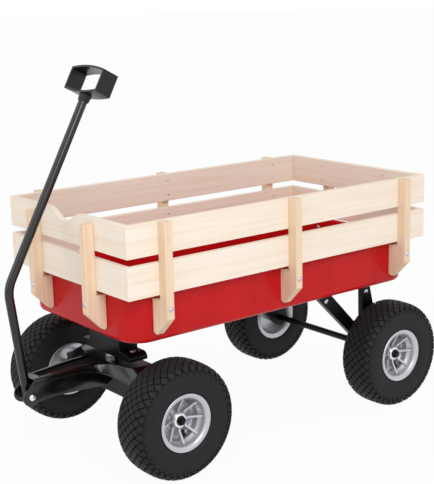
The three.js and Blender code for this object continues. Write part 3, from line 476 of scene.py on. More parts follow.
def painted_shade_coat():
    """The black coat with almost no gloss in the yoke's sunk panel: painted shade, so that the recess reads
    darker.
    """
    return black_coat("painted_shade_coat_black", 0.6, 0.06)


def grip_plastic():
    """Injection-moulded polypropylene: black, half gloss, with an eroded texture drawn coarse, at 0.8 mm."""
    return textured_black("moulded_polypropylene", colours().plastic, 0.3, 0.4, 1200.0, 0.15, 0.0002)


def tyre_rubber():
    """Moulded tyre rubber: dark grey with a dull bloom and the fine grain of the mould."""

    def build(tree):
        # Bloom in patches about 45 mm across.
        bloom = add_node(tree, "ShaderNodeTexNoise", inputs={
            "Vector": coordinates(tree), "Scale": 22.0, "Detail": 5.0,
        })
        rough = add_node(tree, "ShaderNodeMapRange", inputs={
            "Value": bloom.outputs["Fac"], "To Min": 0.5, "To Max": 0.72,
        })
        # Mould grain about 1 mm across.
        grain = add_node(tree, "ShaderNodeTexNoise", inputs={
            "Vector": coordinates(tree), "Scale": 1000.0, "Detail": 1.0,
        })
        mould = add_node(tree, "ShaderNodeBump", inputs={
            "Height": grain.outputs["Fac"], "Strength": 0.2, "Distance": 0.0003,
        })
        return add_node(tree, "ShaderNodeBsdfPrincipled", inputs={
            "Base Color": colours().rubber,
            "Roughness": rough.outputs["Result"],
            "Specular IOR Level": 0.2,
            "Normal": mould.outputs["Normal"],
        })

    return material("moulded_rubber", build)


def silver_paint():
    """Aluminium-flake paint on pressed steel: a soft grey sheen with a fine sparkle."""

    def build(tree):
        # Flakes drawn coarse, at 0.7 mm, because the real ones are too fine to show.
        flake = add_node(tree, "ShaderNodeTexNoise", inputs={
            "Vector": coordinates(tree), "Scale": 1400.0, "Detail": 0.0,
        })
        rough = add_node(tree, "ShaderNodeMapRange", inputs={
            "Value": flake.outputs["Fac"], "To Min": 0.3, "To Max": 0.5,
        })
        sparkle = add_node(tree, "ShaderNodeBump", inputs={
            "Height": flake.outputs["Fac"], "Strength": 0.06, "Distance": 0.0002,
        })
        return add_node(tree, "ShaderNodeBsdfPrincipled", inputs={
            "Base Color": colours().silver,
            "Metallic": 0.8,
            "Roughness": rough.outputs["Result"],
            "Normal": sparkle.outputs["Normal"],
        })

    return material("silver_flake_paint", build)


def plated(name, base, roughness):
    """Plated steel: bright metal with faint polishing marks about 2 mm long."""

    def build(tree):
        marks = add_node(tree, "ShaderNodeTexNoise", inputs={
            "Vector": coordinates(tree, (1, 6, 1)), "Scale": 500.0, "Detail": 2.0,
        })
        rough = add_node(tree, "ShaderNodeMapRange", inputs={
            "Value": marks.outputs["Fac"], "To Min": roughness * 0.8, "To Max": roughness * 1.25,
        })
        return add_node(tree, "ShaderNodeBsdfPrincipled", inputs={
            "Base Color": base, "Metallic": 1.0, "Roughness": rough.outputs["Result"],
        })

    return material(name, build)


def zinc():
    """Zinc plate: a soft grey shine on the fasteners."""
    return plated("zinc_plate", colours().zinc, 0.3)


def chrome():
    """Chrome plate: a sharp, bright shine."""
    return plated("chrome_plate", colours().chrome, 0.1)


# ---------------------------------------------------------------- repeated shapes by geometry nodes


def shape_tree(name, sockets, build):
    """The geometry tree of that name, built once by build(tree, given), which returns the shape's node."""
    found = bpy.data.node_groups.get(name)
    if found:
        return found
    tree = bpy.data.node_groups.new(name, "GeometryNodeTree")
    for label, kind in {"Geometry": "Geometry", **sockets, "Material": "Material"}.items():
        tree.interface.new_socket(label, in_out="INPUT", socket_type=f"NodeSocket{kind}")
    tree.interface.new_socket("Geometry", in_out="OUTPUT", socket_type="NodeSocketGeometry")
    given = add_node(tree, "NodeGroupInput").outputs
    painted = add_node(tree, "GeometryNodeSetMaterial", inputs={
        "Geometry": build(tree, given).outputs[0], "Material": given["Material"],
    })
    add_node(tree, "NodeGroupOutput", inputs={"Geometry": painted.outputs[0]})
    return tree


def ring_tree():
    """Geometry nodes that turn copies of the input round the Y axis and move the ring to a centre."""

    def build(tree, given):
        points = add_node(tree, "GeometryNodeMeshLine", {"mode": "OFFSET"}, {
            "Count": given["Count"], "Offset": (0, 0, 0),
        })
        step = add_node(tree, "ShaderNodeMath", {"operation": "DIVIDE"}, {0: 2 * math.pi, 1: given["Count"]})
        index = add_node(tree, "GeometryNodeInputIndex")
        angle = add_node(tree, "ShaderNodeMath", {"operation": "MULTIPLY_ADD"}, {
            0: index.outputs[0], 1: step.outputs[0], 2: given["Phase"],
        })
        euler = add_node(tree, "ShaderNodeCombineXYZ", inputs={"Y": angle.outputs[0]})
        turn = add_node(tree, "FunctionNodeEulerToRotation", inputs={0: euler.outputs[0]})
        copies = add_node(tree, "GeometryNodeInstanceOnPoints", inputs={
            "Points": points.outputs["Mesh"], "Instance": given["Geometry"], "Rotation": turn.outputs[0],
        })
        real = add_node(tree, "GeometryNodeRealizeInstances", inputs={"Geometry": copies.outputs[0]})
        return add_node(tree, "GeometryNodeTransform", inputs={
            "Geometry": real.outputs[0], "Translation": given["Centre"],
        })

    return shape_tree("ring_of_copies", {"Count": "Int", "Phase": "Float", "Centre": "Vector"}, build)


def heads_tree():
    """Geometry nodes that put a domed head on every point of the input, turned to face one way."""

    def build(tree, given):
        ball = add_node(tree, "GeometryNodeMeshUVSphere", inputs={
            "Segments": 12, "Rings": 6, "Radius": given["Radius"],
        })
        flatness = add_node(tree, "ShaderNodeMath", {"operation": "DIVIDE"}, {
            0: given["Height"], 1: given["Radius"],
        })
        squash = add_node(tree, "ShaderNodeCombineXYZ", inputs={"X": 1.0, "Y": 1.0, "Z": flatness.outputs[0]})
        flat = add_node(tree, "GeometryNodeTransform", inputs={
            "Geometry": ball.outputs["Mesh"], "Scale": squash.outputs[0],
        })
        turn = add_node(tree, "FunctionNodeEulerToRotation", inputs={0: given["Rotation"]})
        copies = add_node(tree, "GeometryNodeInstanceOnPoints", inputs={
            "Points": given["Geometry"], "Instance": flat.outputs[0], "Rotation": turn.outputs[0],
        })
        return add_node(tree, "GeometryNodeRealizeInstances", inputs={"Geometry": copies.outputs[0]})

    return shape_tree("heads_at_points", {"Radius": "Float", "Height": "Float", "Rotation": "Vector"}, build)


def grown(piece, tree, values, name):
    """Runs a node tree on a piece, with its inputs set by identifier, and keeps the plain mesh."""
    modifier = piece.modifiers.new("nodes", "NODES")
    modifier.node_group = tree
    for item in tree.interface.items_tree:
        if item.item_type == "SOCKET" and item.in_out == "INPUT" and item.name in values:
            modifier[item.identifier] = values[item.name]
    made = baked(piece, name)
    for polygon in made.data.polygons:
        polygon.use_smooth = True
    made.data.set_sharp_from_angle(angle=math.radians(PARTED_ABOVE))
    return made


def ring_of(bm, count, phase, centre, finish, name):
    """A ring of copies of a shape that is drawn round the origin."""
    return grown(
        object_from(bm, f"{name}_seed"),
        ring_tree(),
        {"Count": count, "Phase": phase, "Centre": tuple(centre), "Material": finish},
        name,
    )


def heads_at(points, radius, height, towards, finish, name):
    """Domed heads at the given points, facing along the direction towards."""
    bm = bmesh.new()
    for point in points:
        bm.verts.new(point)
    rotation = towards.to_track_quat("Z", "Y").to_euler()
    return grown(
        object_from(bm, f"{name}_seed"),
        heads_tree(),
        {"Radius": radius, "Height": height, "Rotation": tuple(rotation), "Material": finish},
        name,
    )


def united(name, pieces):
    """One object from several that share a body."""
    bm = bmesh.new()
    materials = []
    for piece in pieces:
        first = len(bm.faces)
        bm.from_mesh(piece.data)
        bm.faces.ensure_lookup_table()
        offset = len(materials)
        for face in bm.faces[first:]:
            face.material_index += offset
        materials += list(piece.data.materials)
    made = object_from(bm, name)
    for finish in materials:
        made.data.materials.append(finish)
    for piece in pieces:
        bpy.data.objects.remove(piece)
    made.data.set_sharp_from_angle(angle=math.radians(PARTED_ABOVE))
    return made


# ---------------------------------------------------------------- tray


def rounded_ring(half_x, half_y, radius, centre, z, steps=12):
    """Points round a rectangle with rounded corners, at one height."""
    ring = []
    for sx, sy, start in ((1, 1, 0), (-1, 1, 90), (-1, -1, 180), (1, -1, 270)):
        for i in range(steps + 1):
            angle = math.radians(start + 90 * i / steps)
            x = centre.x + sx * (half_x - radius) + radius * math.cos(angle)
            y = centre.y + sy * (half_y - radius) + radius * math.sin(angle)
            ring.append(Vector((x, y, z)))
    return ring


def tray_section(bottom, top):
    """Offsets from the wall's outer face, with heights: up the outside, round the rim, down to the floor."""
    s = sizes()
    edge_steps, bead_steps, bead_start, inset = 6, 12, -0.55 * math.pi, 0.1 * MM
    section = []
    for i in range(edge_steps + 1):
        angle = math.pi / 2 * i / edge_steps
        section.append((s.tray_edge * (math.sin(angle) - 1), bottom + s.tray_edge * (1 - math.cos(angle))))
    section.append((0, top - 2.6 * s.tray_bead))
    for i in range(bead_steps + 1):
        angle = bead_start * (1 - 2 * i / bead_steps)
        offset = s.tray_bead * (1 + math.cos(angle)) - inset
        section.append((offset, top - s.tray_bead * (1 - math.sin(angle))))
    inner = s.tray_edge - s.tray_wall
    section.append((-s.tray_wall, top - 0.6 * s.tray_bead))
    for i in range(edge_steps, -1, -1):
        angle = math.pi / 2 * i / edge_steps
        offset = -s.tray_edge + inner * math.sin(angle)
        section.append((offset, bottom + s.tray_edge - inner * math.cos(angle)))
    return section


class CART_OT_tray(bpy.types.Operator):
    """Makes the pressed steel tray with its rolled rim"""

    bl_idname = "cart.make_tray"
    bl_label = "Tray"

    def execute(self, context):
        s = sizes()
        low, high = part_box("tray")
        centre = middle("tray")
        half_x = (high.x - low.x) / 2 - 2 * s.tray_bead
        half_y = (high.y - low.y) / 2 - 2 * s.tray_bead
        rings = [
            rounded_ring(half_x + offset, half_y + offset, s.tray_corner + offset, centre, z)
            for offset, z in tray_section(low.z, high.z)
        ]
        piece = object_from(skinned(rings), "steel_tray", 40)
        finish_piece(piece, red_enamel(), "cart_body", ("tray",))
        return {"FINISHED"}


# ---------------------------------------------------------------- rails


class CART_OT_boards(bpy.types.Operator):
    """Makes the eight rail boards"""

    bl_idname = "cart.make_boards"
    bl_label = "Boards"

    def execute(self, context):
        for node in BOARDS:
            direction = "x" if "left" in node or "right" in node else "y"
            eased_copy(node, sizes().board_edge, node.replace("rail", "board"), pine(direction))
        return {"FINISHED"}


class CART_OT_posts(bpy.types.Operator):
    """Makes the ten posts with their cut feet"""

    bl_idname = "cart.make_posts"
    bl_label = "Posts"

    def execute(self, context):
        for place in SIDE_POSTS + END_POSTS:
            eased_copy(f"post_{place}", sizes().post_edge, f"stake_{place}", pine("z"))
        return {"FINISHED"}


def outward(place):
    """The direction from the cart's middle through a post."""
    return {"left": Y_AXIS, "right": -Y_AXIS, "front": X_AXIS, "rear": -X_AXIS}[place.split("_")[0]]


class CART_OT_post_bolts(bpy.types.Operator):
    """Makes the carriage bolts through the posts' feet, with their nuts inside the tray"""

    bl_idname = "cart.make_post_bolts"
    bl_label = "Post bolts"

    def execute(self, context):
        head, head_height, shank, shank_edge = 5.5 * MM, 3 * MM, 3.1 * MM, 0.5 * MM
        nut, nut_height, nut_edge, tail = 5.6 * MM, 5 * MM, 0.6 * MM, 2 * MM
        for place in SIDE_POSTS + END_POSTS:
            node = f"post_bolt_{place}"
            low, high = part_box(node)
            axis = outward(place)
            half = abs((high - low).dot(axis)) / 2
            face = half - head_height
            profile = [(0, -half), (shank, shank_edge - half), (shank, face)]
            profile += [*dome(head, head_height, face, 6), (0, half)]
            bm = turned(profile, middle(node), axis, 20)
            nut_profile = [
                (shank, tail - half),
                (nut - nut_edge, tail - half),
                (nut, tail - half + nut_edge),
                (nut, tail - half + nut_height),
                (shank, tail - half + nut_height),
            ]
            absorb(bm, turned(nut_profile, middle(node), axis, 6, closed=True))
            piece = object_from(bm, f"carriage_bolt_{place}", PARTED_ABOVE)
            finish_piece(piece, zinc(), "cart_body", (node,))
        return {"FINISHED"}


class CART_OT_screws(bpy.types.Operator):
    """Makes the screw heads that hold the boards to the posts, and the bolt heads of the steel carriers"""

    bl_idname = "cart.make_screws"
    bl_label = "Screws and bolts"

    def execute(self, context):
        self.board_screws()
        self.bracket_bolts()
        self.bolster_bolts()
        return {"FINISHED"}

    def board_screws(self):
        """Two screws through each board into each post, seen on the boards' inner faces."""
        inset = 16 * MM
        groups = {}
        for place in SIDE_POSTS + END_POSTS:
            side = place.split("_")[0]
            post = middle(f"post_{place}")
            axis = Vector(map(abs, outward(place)))
            for row in ("upper", "lower"):
                low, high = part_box(f"rail_{side}_{row}")
                face = low if side in ("left", "front") else high
                seat = post + axis * (face - post).dot(axis)
                for z in (low.z + inset, high.z - inset):
                    groups.setdefault(side, []).append(Vector((seat.x, seat.y, z)))
        pieces = [
            heads_at(points, sizes().screw_head, 0.9 * MM, -outward(f"{side}_x"), zinc(), f"screws_{side}")
            for side, points in groups.items()
        ]
        finish_piece(united("board_screws", pieces), None, "cart_body")

    def bracket_bolts(self):
        """A bolt head near the foot of each bracket strut."""
        pieces = []
        radius, height, drop, feet = 6 * MM, 3 * MM, 16 * MM, (34 * MM, 166 * MM)
        for side, axis in (("left", Y_AXIS), ("right", -Y_AXIS)):
            low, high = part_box(f"rear_bracket_{side}")
            face = high.y if side == "left" else low.y
            axle = middle(f"axle_nut_rear_{side}").x
            points = [Vector((axle + foot, face, high.z - drop)) for foot in feet]
            pieces.append(heads_at(points, radius, height, axis, zinc(), f"bracket_bolts_{side}"))
        finish_piece(united("bracket_bolts", pieces), None, "cart_body")

    def bolster_bolts(self):
        """A bolt head on each shoulder of the front bolster."""
        radius, height, rise, reach = 6.5 * MM, 4 * MM, 17 * MM, 76 * MM
        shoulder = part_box("front_bolster")[0].z + rise
        points = [Vector((middle("front_bolster").x, y, shoulder)) for y in (-reach, reach)]
        piece = heads_at(points, radius, height, Z_AXIS, zinc(), "bolster_bolts")
        finish_piece(piece, None, "cart_body")


# ---------------------------------------------------------------- running gear


class CART_OT_carriers(bpy.types.Operator):
    """Makes the rear brackets, the front bolster and the axle beam"""

    bl_idname = "cart.make_carriers"
    bl_label = "Carriers"

    def execute(self, context):
        edge = sizes().steel_edge
        for side in ("left", "right"):
            eased_copy(f"rear_bracket_{side}", edge, f"rear_strut_{side}", powder_coat())
        eased_copy("front_bolster", 1.5 * edge, "bolster_pressing", powder_coat())
        eased_copy("axle_beam", 1.5 * edge, "beam_channel", powder_coat())
        return {"FINISHED"}


class CART_OT_axles(bpy.types.Operator):
    """Makes the two axle bars with their threaded ends"""

    bl_idname = "cart.make_axles"
    bl_label = "Axles"

    def execute(self, context):
        bar, stud, stud_length, edge = 8 * MM, 6 * MM, 13 * MM, 0.8 * MM
        for end in ("front", "rear"):
            node = f"{end}_axle"
            low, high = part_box(node)
            tip = (high.y - low.y) / 2
            shoulder = tip - stud_length
            half = [(0, tip), (stud - edge, tip), (stud, tip - edge), (stud, shoulder), (bar, shoulder)]
            profile = [(r, -y) for r, y in half] + [(r, y) for r, y in reversed(half)]
            piece = object_from(turned(profile, middle(node), Y_AXIS, 32), f"{end}_axle_bar", PARTED_ABOVE)
            finish_piece(piece, powder_coat(), NODE_BODY[node], (node,))
        return {"FINISHED"}


class CART_OT_turntable(bpy.types.Operator):
    """Makes the bearing plates, the kingpin and its nut"""

    bl_idname = "cart.make_turntable"
    bl_label = "Turntable"

    def execute(self, context):
        bore, edge = 7.5 * MM, 0.9 * MM
        for level in ("upper", "lower"):
            node = f"bearing_plate_{level}"
            low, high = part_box(node)
            radius = (high.x - low.x) / 2
            half = (high.z - low.z) / 2
            profile = [(bore, -half), (radius - edge, -half), (radius, edge - half)]
            profile += [(radius, half - edge), (radius - edge, half), (bore, half)]
            bm = turned(profile, middle(node), Z_AXIS, 48, closed=True)
            piece = object_from(bm, f"thrust_plate_{level}", PARTED_ABOVE)
            finish_piece(piece, chrome(), NODE_BODY[node], (node,))
        eased_copy("kingpin", 0.5 * MM, "king_bolt", zinc())
        eased_copy("kingpin_nut", 0.5 * MM, "king_nut", zinc())
        return {"FINISHED"}


# The yoke's sections from the nose back: distance ahead of the front axle, half width and height of the
# deck, half width inside the lips, and height of the lips, in millimetres.
YOKE_SECTIONS = (
    (213.8, 21, 207, 18.5, 196),
    (158, 25, 211, 24, 199),
    (108, 31, 213, 31, 200),
    (78, 34, 213, 35, 197),
    (60, 38, 212, 46, 191),
    (46, 46, 210.5, 70, 183),
    (36, 66, 209, 112, 175),
    (27, 94, 209, 150, 172.3),
    (14, 112, 209, 169, 172.3),
    (-28, 112, 209, 169, 172.3),
)


def smooth_between(rows, steps):
    """Rows of numbers with smooth ones put between them, on Catmull-Rom curves."""
    out = []
    for i in range(len(rows) - 1):
        before, a, b = rows[max(i - 1, 0)], rows[i], rows[i + 1]
        after = rows[min(i + 2, len(rows) - 1)]
        for k in range(steps):
            t = k / steps
            shares = (
                0.5 * (-t + 2 * t * t - t ** 3),
                0.5 * (2 - 5 * t * t + 3 * t ** 3),
                0.5 * (t + 4 * t * t - 3 * t ** 3),
                0.5 * (t ** 3 - t * t),
            )
            columns = zip(before, a, b, after)
            out.append(tuple(sum(s * v for s, v in zip(shares, column)) for column in columns))
    out.append(tuple(rows[-1]))
    return out


def ramp_up(value, start, end):
    """0 before start, 1 after end, and smooth between."""
    t = min(max((value - start) / (end - start), 0), 1)
    return t * t * (3 - 2 * t)


class CART_OT_yoke(bpy.types.Operator):
    """Makes the pressed steering yoke: a tongue with a sunk panel, flared lips and two lugs"""

    bl_idname = "cart.make_yoke"
    bl_label = "Steering yoke"

    def execute(self, context):
        axle = middle("front_axle").x
        panel_start, panel_end, lug_near, lug_far = 34, 192, 18 * MM, 22 * MM
        rings = [self.section(axle, *row) for row in smooth_between(YOKE_SECTIONS, 5)]
        bm = skinned(rings)
        count = len(rings[0])
        # The sunk panel's floor and walls take the second finish, the black coat with almost no gloss: painted
        # shade in the recess.
        for i, face in enumerate(bm.faces):
            ahead = (face.calc_center_median().x - axle) / MM
            if i % count in (0, count - 2, count - 1) and panel_start < ahead < panel_end:
                face.material_index = 1
        for near, far in ((-lug_far, -lug_near), (lug_near, lug_far)):
            absorb(bm, plate(self.lug(axle), Y_AXIS, near, far, sizes().steel_edge))
        nose = axle + YOKE_SECTIONS[0][0] * MM
        back, foot, head = nose - 3 * MM, 196 * MM, 206 * MM
        wall = [Vector((x, 0, z)) for x, z in ((back, foot), (nose, foot), (nose, head), (back, head))]
        absorb(bm, plate(wall, Y_AXIS, -21 * MM, 21 * MM, sizes().steel_edge))
        piece = object_from(bm, "yoke_pressing", 38)
        piece.data.materials.append(gloss_coat())
        piece.data.materials.append(painted_shade_coat())
        finish_piece(piece, None, "steering", ("steering_yoke",))
        return {"FINISHED"}

    def section(self, axle, ahead, deck_half, deck_z, lip_half, lip_z):
        """One section: deck with its sunk panel, sloping side, lip, and the underside."""
        sheet, lip, panel_depth, panel_border = 3, 7, 3.5, 8
        sunk = panel_depth * ramp_up(ahead, 30, 42) * (1 - ramp_up(ahead, 186, 198))
        panel = max(deck_half - panel_border, 4)
        over = [
            (panel - 3, deck_z - sunk),
            (panel, deck_z),
            (deck_half - 2.4, deck_z),
            (deck_half - 0.6, deck_z - 0.6),
            (deck_half + 0.8, deck_z - 2.4),
            (lip_half - 0.8, lip_z + sheet + 1.2),
            (lip_half + 1.2, lip_z + sheet),
            (lip_half + lip - 0.8, lip_z + sheet),
            (lip_half + lip, lip_z + sheet - 0.8),
            (lip_half + lip, lip_z),
        ]
        under = [
            (lip_half - sheet, lip_z),
            (deck_half - 3.5, deck_z - sheet),
            (panel - 3, deck_z - sunk - sheet),
        ]
        half = over + under
        outline = half + [(-y, z) for y, z in reversed(half)]
        return [Vector((axle + ahead * MM, y * MM, z * MM)) for y, z in outline]

    def lug(self, axle):
        """Outline of a lug in the plane of x and z."""
        pivot = Vector(JOINTS["handle_pitch"]["pos_m"])
        root, radius, steps = axle + 14.4 * MM, 20 * MM, 24
        nose = axle + (YOKE_SECTIONS[0][0] - 1) * MM
        outline = [
            (root, 206.5 * MM), (root, 166 * MM), (root + 22 * MM, 153 * MM), (pivot.x - 58 * MM, 160 * MM),
        ]
        for i in range(steps + 1):
            angle = math.radians(225 + 207 * i / steps)
            outline.append((pivot.x + radius * math.cos(angle), pivot.z + radius * math.sin(angle)))
        outline.append((nose, 205.5 * MM))
        return [Vector((x, 0, z)) for x, z in outline]


# ---------------------------------------------------------------- handle


def upright(degrees):
    """The direction that leans forward from upright by an angle."""
    return Vector((math.sin(math.radians(degrees)), 0, math.cos(math.radians(degrees))))


class CART_OT_handle(bpy.types.Operator):
    """Makes the bent handle tube with its cross sleeve, and the pivot bolt"""

    bl_idname = "cart.make_handle"
    bl_label = "Handle"

    lower_lean: FloatProperty(name="Lower lean", description="Lower tube's lean ahead, degrees", default=7.0)
    upper_lean: FloatProperty(name="Upper lean", description="Upper tube's lean back, degrees", default=28.6)
    lower_length: length("Lower length", 236.6, "From the pivot to the corner of the bend")
    upper_length: length("Upper length", 433.0, "From the corner of the bend to the tube's end")

    def execute(self, context):
        s = sizes()
        pivot = Vector(JOINTS["handle_pitch"]["pos_m"])
        bm = swept(self.path(pivot), s.handle_tube, Y_AXIS)
        sleeve, half, edge = 9 * MM, 17.5 * MM, 0.8 * MM
        profile = [(0, -half), (sleeve - edge, -half), (sleeve, edge - half)]
        profile += [(sleeve, half - edge), (sleeve - edge, half), (0, half)]
        absorb(bm, turned(profile, pivot, Y_AXIS, 32))
        piece = object_from(bm, "bent_tube", PARTED_ABOVE)
        finish_piece(piece, gloss_coat(), "handle", ("handle_tube",))
        self.pivot_bolt(pivot)
        return {"FINISHED"}

    def path(self, pivot):
        """Centre line: straight, an arc round the bend, straight."""
        lower, upper = upright(self.lower_lean), upright(-self.upper_lean)
        corner = pivot + lower * self.lower_length
        turn = math.radians(self.lower_lean + self.upper_lean)
        radius, tail, steps = sizes().handle_bend, 13 * MM, 16
        start = corner - lower * (radius * math.tan(turn / 2))
        inward = Vector((-lower.z, 0, lower.x))
        centre = start + inward * radius
        arc = [
            centre + (lower * math.sin(turn * i / steps) - inward * math.cos(turn * i / steps)) * radius
            for i in range(steps + 1)
        ]
        return [pivot - lower * tail, *arc, corner + upper * self.upper_length]

    def pivot_bolt(self, pivot):
        shank, head, head_height, face, tail = 5 * MM, 7.5 * MM, 5 * MM, 22.3 * MM, 31.3 * MM
        profile = [(0, -tail), (shank, 0.6 * MM - tail), (shank, face)]
        profile += [*dome(head, head_height, face, 8), (0, face + head_height)]
        piece = object_from(turned(profile, pivot, Y_AXIS, 32), "pivot_pin", PARTED_ABOVE)
        finish_piece(piece, chrome(), "steering", ("pivot_bolt",))
        eased_copy("pivot_nut", 0.5 * MM, "pivot_lock_nut", zinc())


class CART_OT_grip(bpy.types.Operator):
    """Makes the loop grip with its collar"""

    bl_idname = "cart.make_grip"
    bl_label = "Grip"

    def execute(self, context):
        eased_copy("grip", sizes().grip_edge, "loop_grip", grip_plastic())
        return {"FINISHED"}


# ---------------------------------------------------------------- wheels

# Points of the tyre's outer section from the crown to the bead: radius and distance from the middle, mm.
TYRE_SECTION = (
    (121.4, 0), (121.2, 12), (120.5, 22), (118.6, 30), (114.2, 36.4), (107, 40.2), (98, 41.6),
    (87, 41.8), (76, 40.8), (68, 38.2), (63.6, 35.2),
)
TYRE_HALF_WIDTH = 41.9           # the sidewall's rings and lugs stop here, mm
TYRE_RIDGES = (104, 72)          # radii of the low rings on the sidewall, mm
RIDGE_HEIGHT = 0.7               # mm
RIDGE_WIDTH = 1.6                # mm


def outboard(place):
    """1 for a wheel on the left and -1 for one on the right."""
    return 1 if place.endswith("left") else -1


def tyre_curve():
    """The outer section, fine and smooth, in metres: (radius, distance from the middle)."""
    return in_metres(smooth_between(TYRE_SECTION, 8))


class Crown:
    """Places on the tyre's outer section, by the distance along it from the middle of the tread."""

    def __init__(self):
        self.points = [Vector(p) for p in tyre_curve()]
        self.reach = [0.0]
        for a, b in zip(self.points, self.points[1:]):
            self.reach.append(self.reach[-1] + (b - a).length)

    def at(self, along, height):
        """The point at a signed distance from the middle, raised from the surface by a height."""
        side = 1 if along >= 0 else -1
        distance = min(abs(along), self.reach[-1])
        i = next(k for k in range(1, len(self.reach)) if self.reach[k] >= distance)
        a, b = self.points[i - 1], self.points[i]
        t = (distance - self.reach[i - 1]) / (self.reach[i] - self.reach[i - 1])
        step = (b - a).normalized()
        place = a.lerp(b, t) + Vector((step.y, -step.x)) * height
        return place.x, side * min(place.y, TYRE_HALF_WIDTH * MM)


def tread_block(crown, along, outline, height):
    """One block, drawn at angle 0: its foot in the carcass, a narrower top and a small chamfer."""
    base_radius = TYRE_SECTION[0][0] * MM
    levels = ((-0.6 * MM, 1.06), (height - 0.8 * MM, 0.98), (height, 0.88))
    rings = []
    for rise, share in levels:
        ring = []
        for round_way, across in outline:
            radius, y = crown.at(along + across * share, rise)
            angle = round_way * share / base_radius
            ring.append(Vector((radius * math.cos(angle), y, radius * math.sin(angle))))
        rings.append(ring)
    return skinned(rings)


class CART_OT_tyres(bpy.types.Operator):
    """Makes the tyres with their diamond tread"""

    bl_idname = "cart.make_tyres"
    bl_label = "Tyres"

    row_spacing: length("Row spacing", 9.4, "Distance between two rows of tread blocks")

    def execute(self, context):
        for place in WHEELS:
            self.tyre(place)
        return {"FINISHED"}

    def tyre(self, place):
        node = f"tyre_{place}"
        centre = middle(node)
        outer = []
        for radius, y in tyre_curve():
            ridge = sum(math.exp(-((radius / MM - r) / RIDGE_WIDTH) ** 2) for r in TYRE_RIDGES)
            outer.append((radius, min(y + RIDGE_HEIGHT * MM * ridge, TYRE_HALF_WIDTH * MM)))
        inner = in_metres([(55, 35), (55, 27), (80, 33), (105, 30), (114, 18), (116, 0)])
        half = outer + inner
        mirrored = [(r, -y) for r, y in reversed(half) if y > 0]
        bm = turned(half + mirrored, centre, Y_AXIS, 96, closed=True)
        carcass = object_from(bm, f"carcass_{place}", 50)
        carcass.data.materials.append(tyre_rubber())
        parts = [carcass, *self.tread(place, centre), *self.shoulder_lugs(place, centre)]
        piece = united(f"treaded_tyre_{place}", parts)
        finish_piece(piece, tyre_rubber(), NODE_BODY[node], (node,))

    def tread(self, place, centre):
        """Nine rows of diamonds, every second row half a block further round."""
        crown, count = Crown(), sizes().tread_blocks
        step = 2 * math.pi / count
        groove, blunt = 4.2 * MM, 1.2 * MM
        wide = (step * TYRE_SECTION[0][0] * MM - groove) / 2
        long = self.row_spacing - groove / 2
        diamond = [
            (wide, -blunt), (wide, blunt), (blunt, long), (-blunt, long),
            (-wide, blunt), (-wide, -blunt), (-blunt, -long), (blunt, -long),
        ]
        rings = []
        for row in range(-4, 5):
            seed = tread_block(crown, row * self.row_spacing, diamond, sizes().tread_height)
            phase = step / 2 if row % 2 else 0.0
            rings.append(ring_of(seed, count, phase, centre, tyre_rubber(), f"row_{row + 4}_{place}"))
        return rings

    def shoulder_lugs(self, place, centre):
        """A ring of low, square lugs on each shoulder."""
        crown, count = Crown(), sizes().tread_blocks
        half, near, far, along, height = 4.6 * MM, -4 * MM, 5 * MM, 46.5 * MM, 3.2 * MM
        rings = []
        for side in (-1, 1):
            shape = [(half, side * near), (half, side * far), (-half, side * far), (-half, side * near)]
            seed = tread_block(crown, side * along, shape, height)
            name = f"lugs_{side + 1}_{place}"
            rings.append(ring_of(seed, count, math.pi / count, centre, tyre_rubber(), name))
        return rings


def rim_profile():
    """The pressed rim's closed section: radius and distance outboard, in metres."""
    face = [
        (63, 36.6), (63, 37.6), (62.2, 38.4), (60.6, 38.5), (57, 37.4), (53.4, 35.6), (51.8, 33.6),
        (50.6, 28), (48.6, 21), (45.2, 17.5), (44, 15), (44, 1.5), (42.5, 0), (37, -0.6), (35.8, -2.4),
        (28, -2.6), (27, -0.8), (21, -1.2), (18.5, 1.2), (17, 3), (17, 13.2), (16.2, 14), (8.3, 14),
    ]
    back = [
        (8.3, -46), (16.4, -46), (17, -45.2), (17, -6), (28, -5.6), (43, -4), (44, -6), (44, -16),
        (51.8, -34), (60, -38.2), (62.4, -38.4), (63, -37.6), (63, -35.5), (54.7, -35.5), (54.7, -20),
        (47, -14), (47, 14), (54.7, 20), (54.7, 35.5), (62.6, 35.6),
    ]
    return in_metres(face + back)


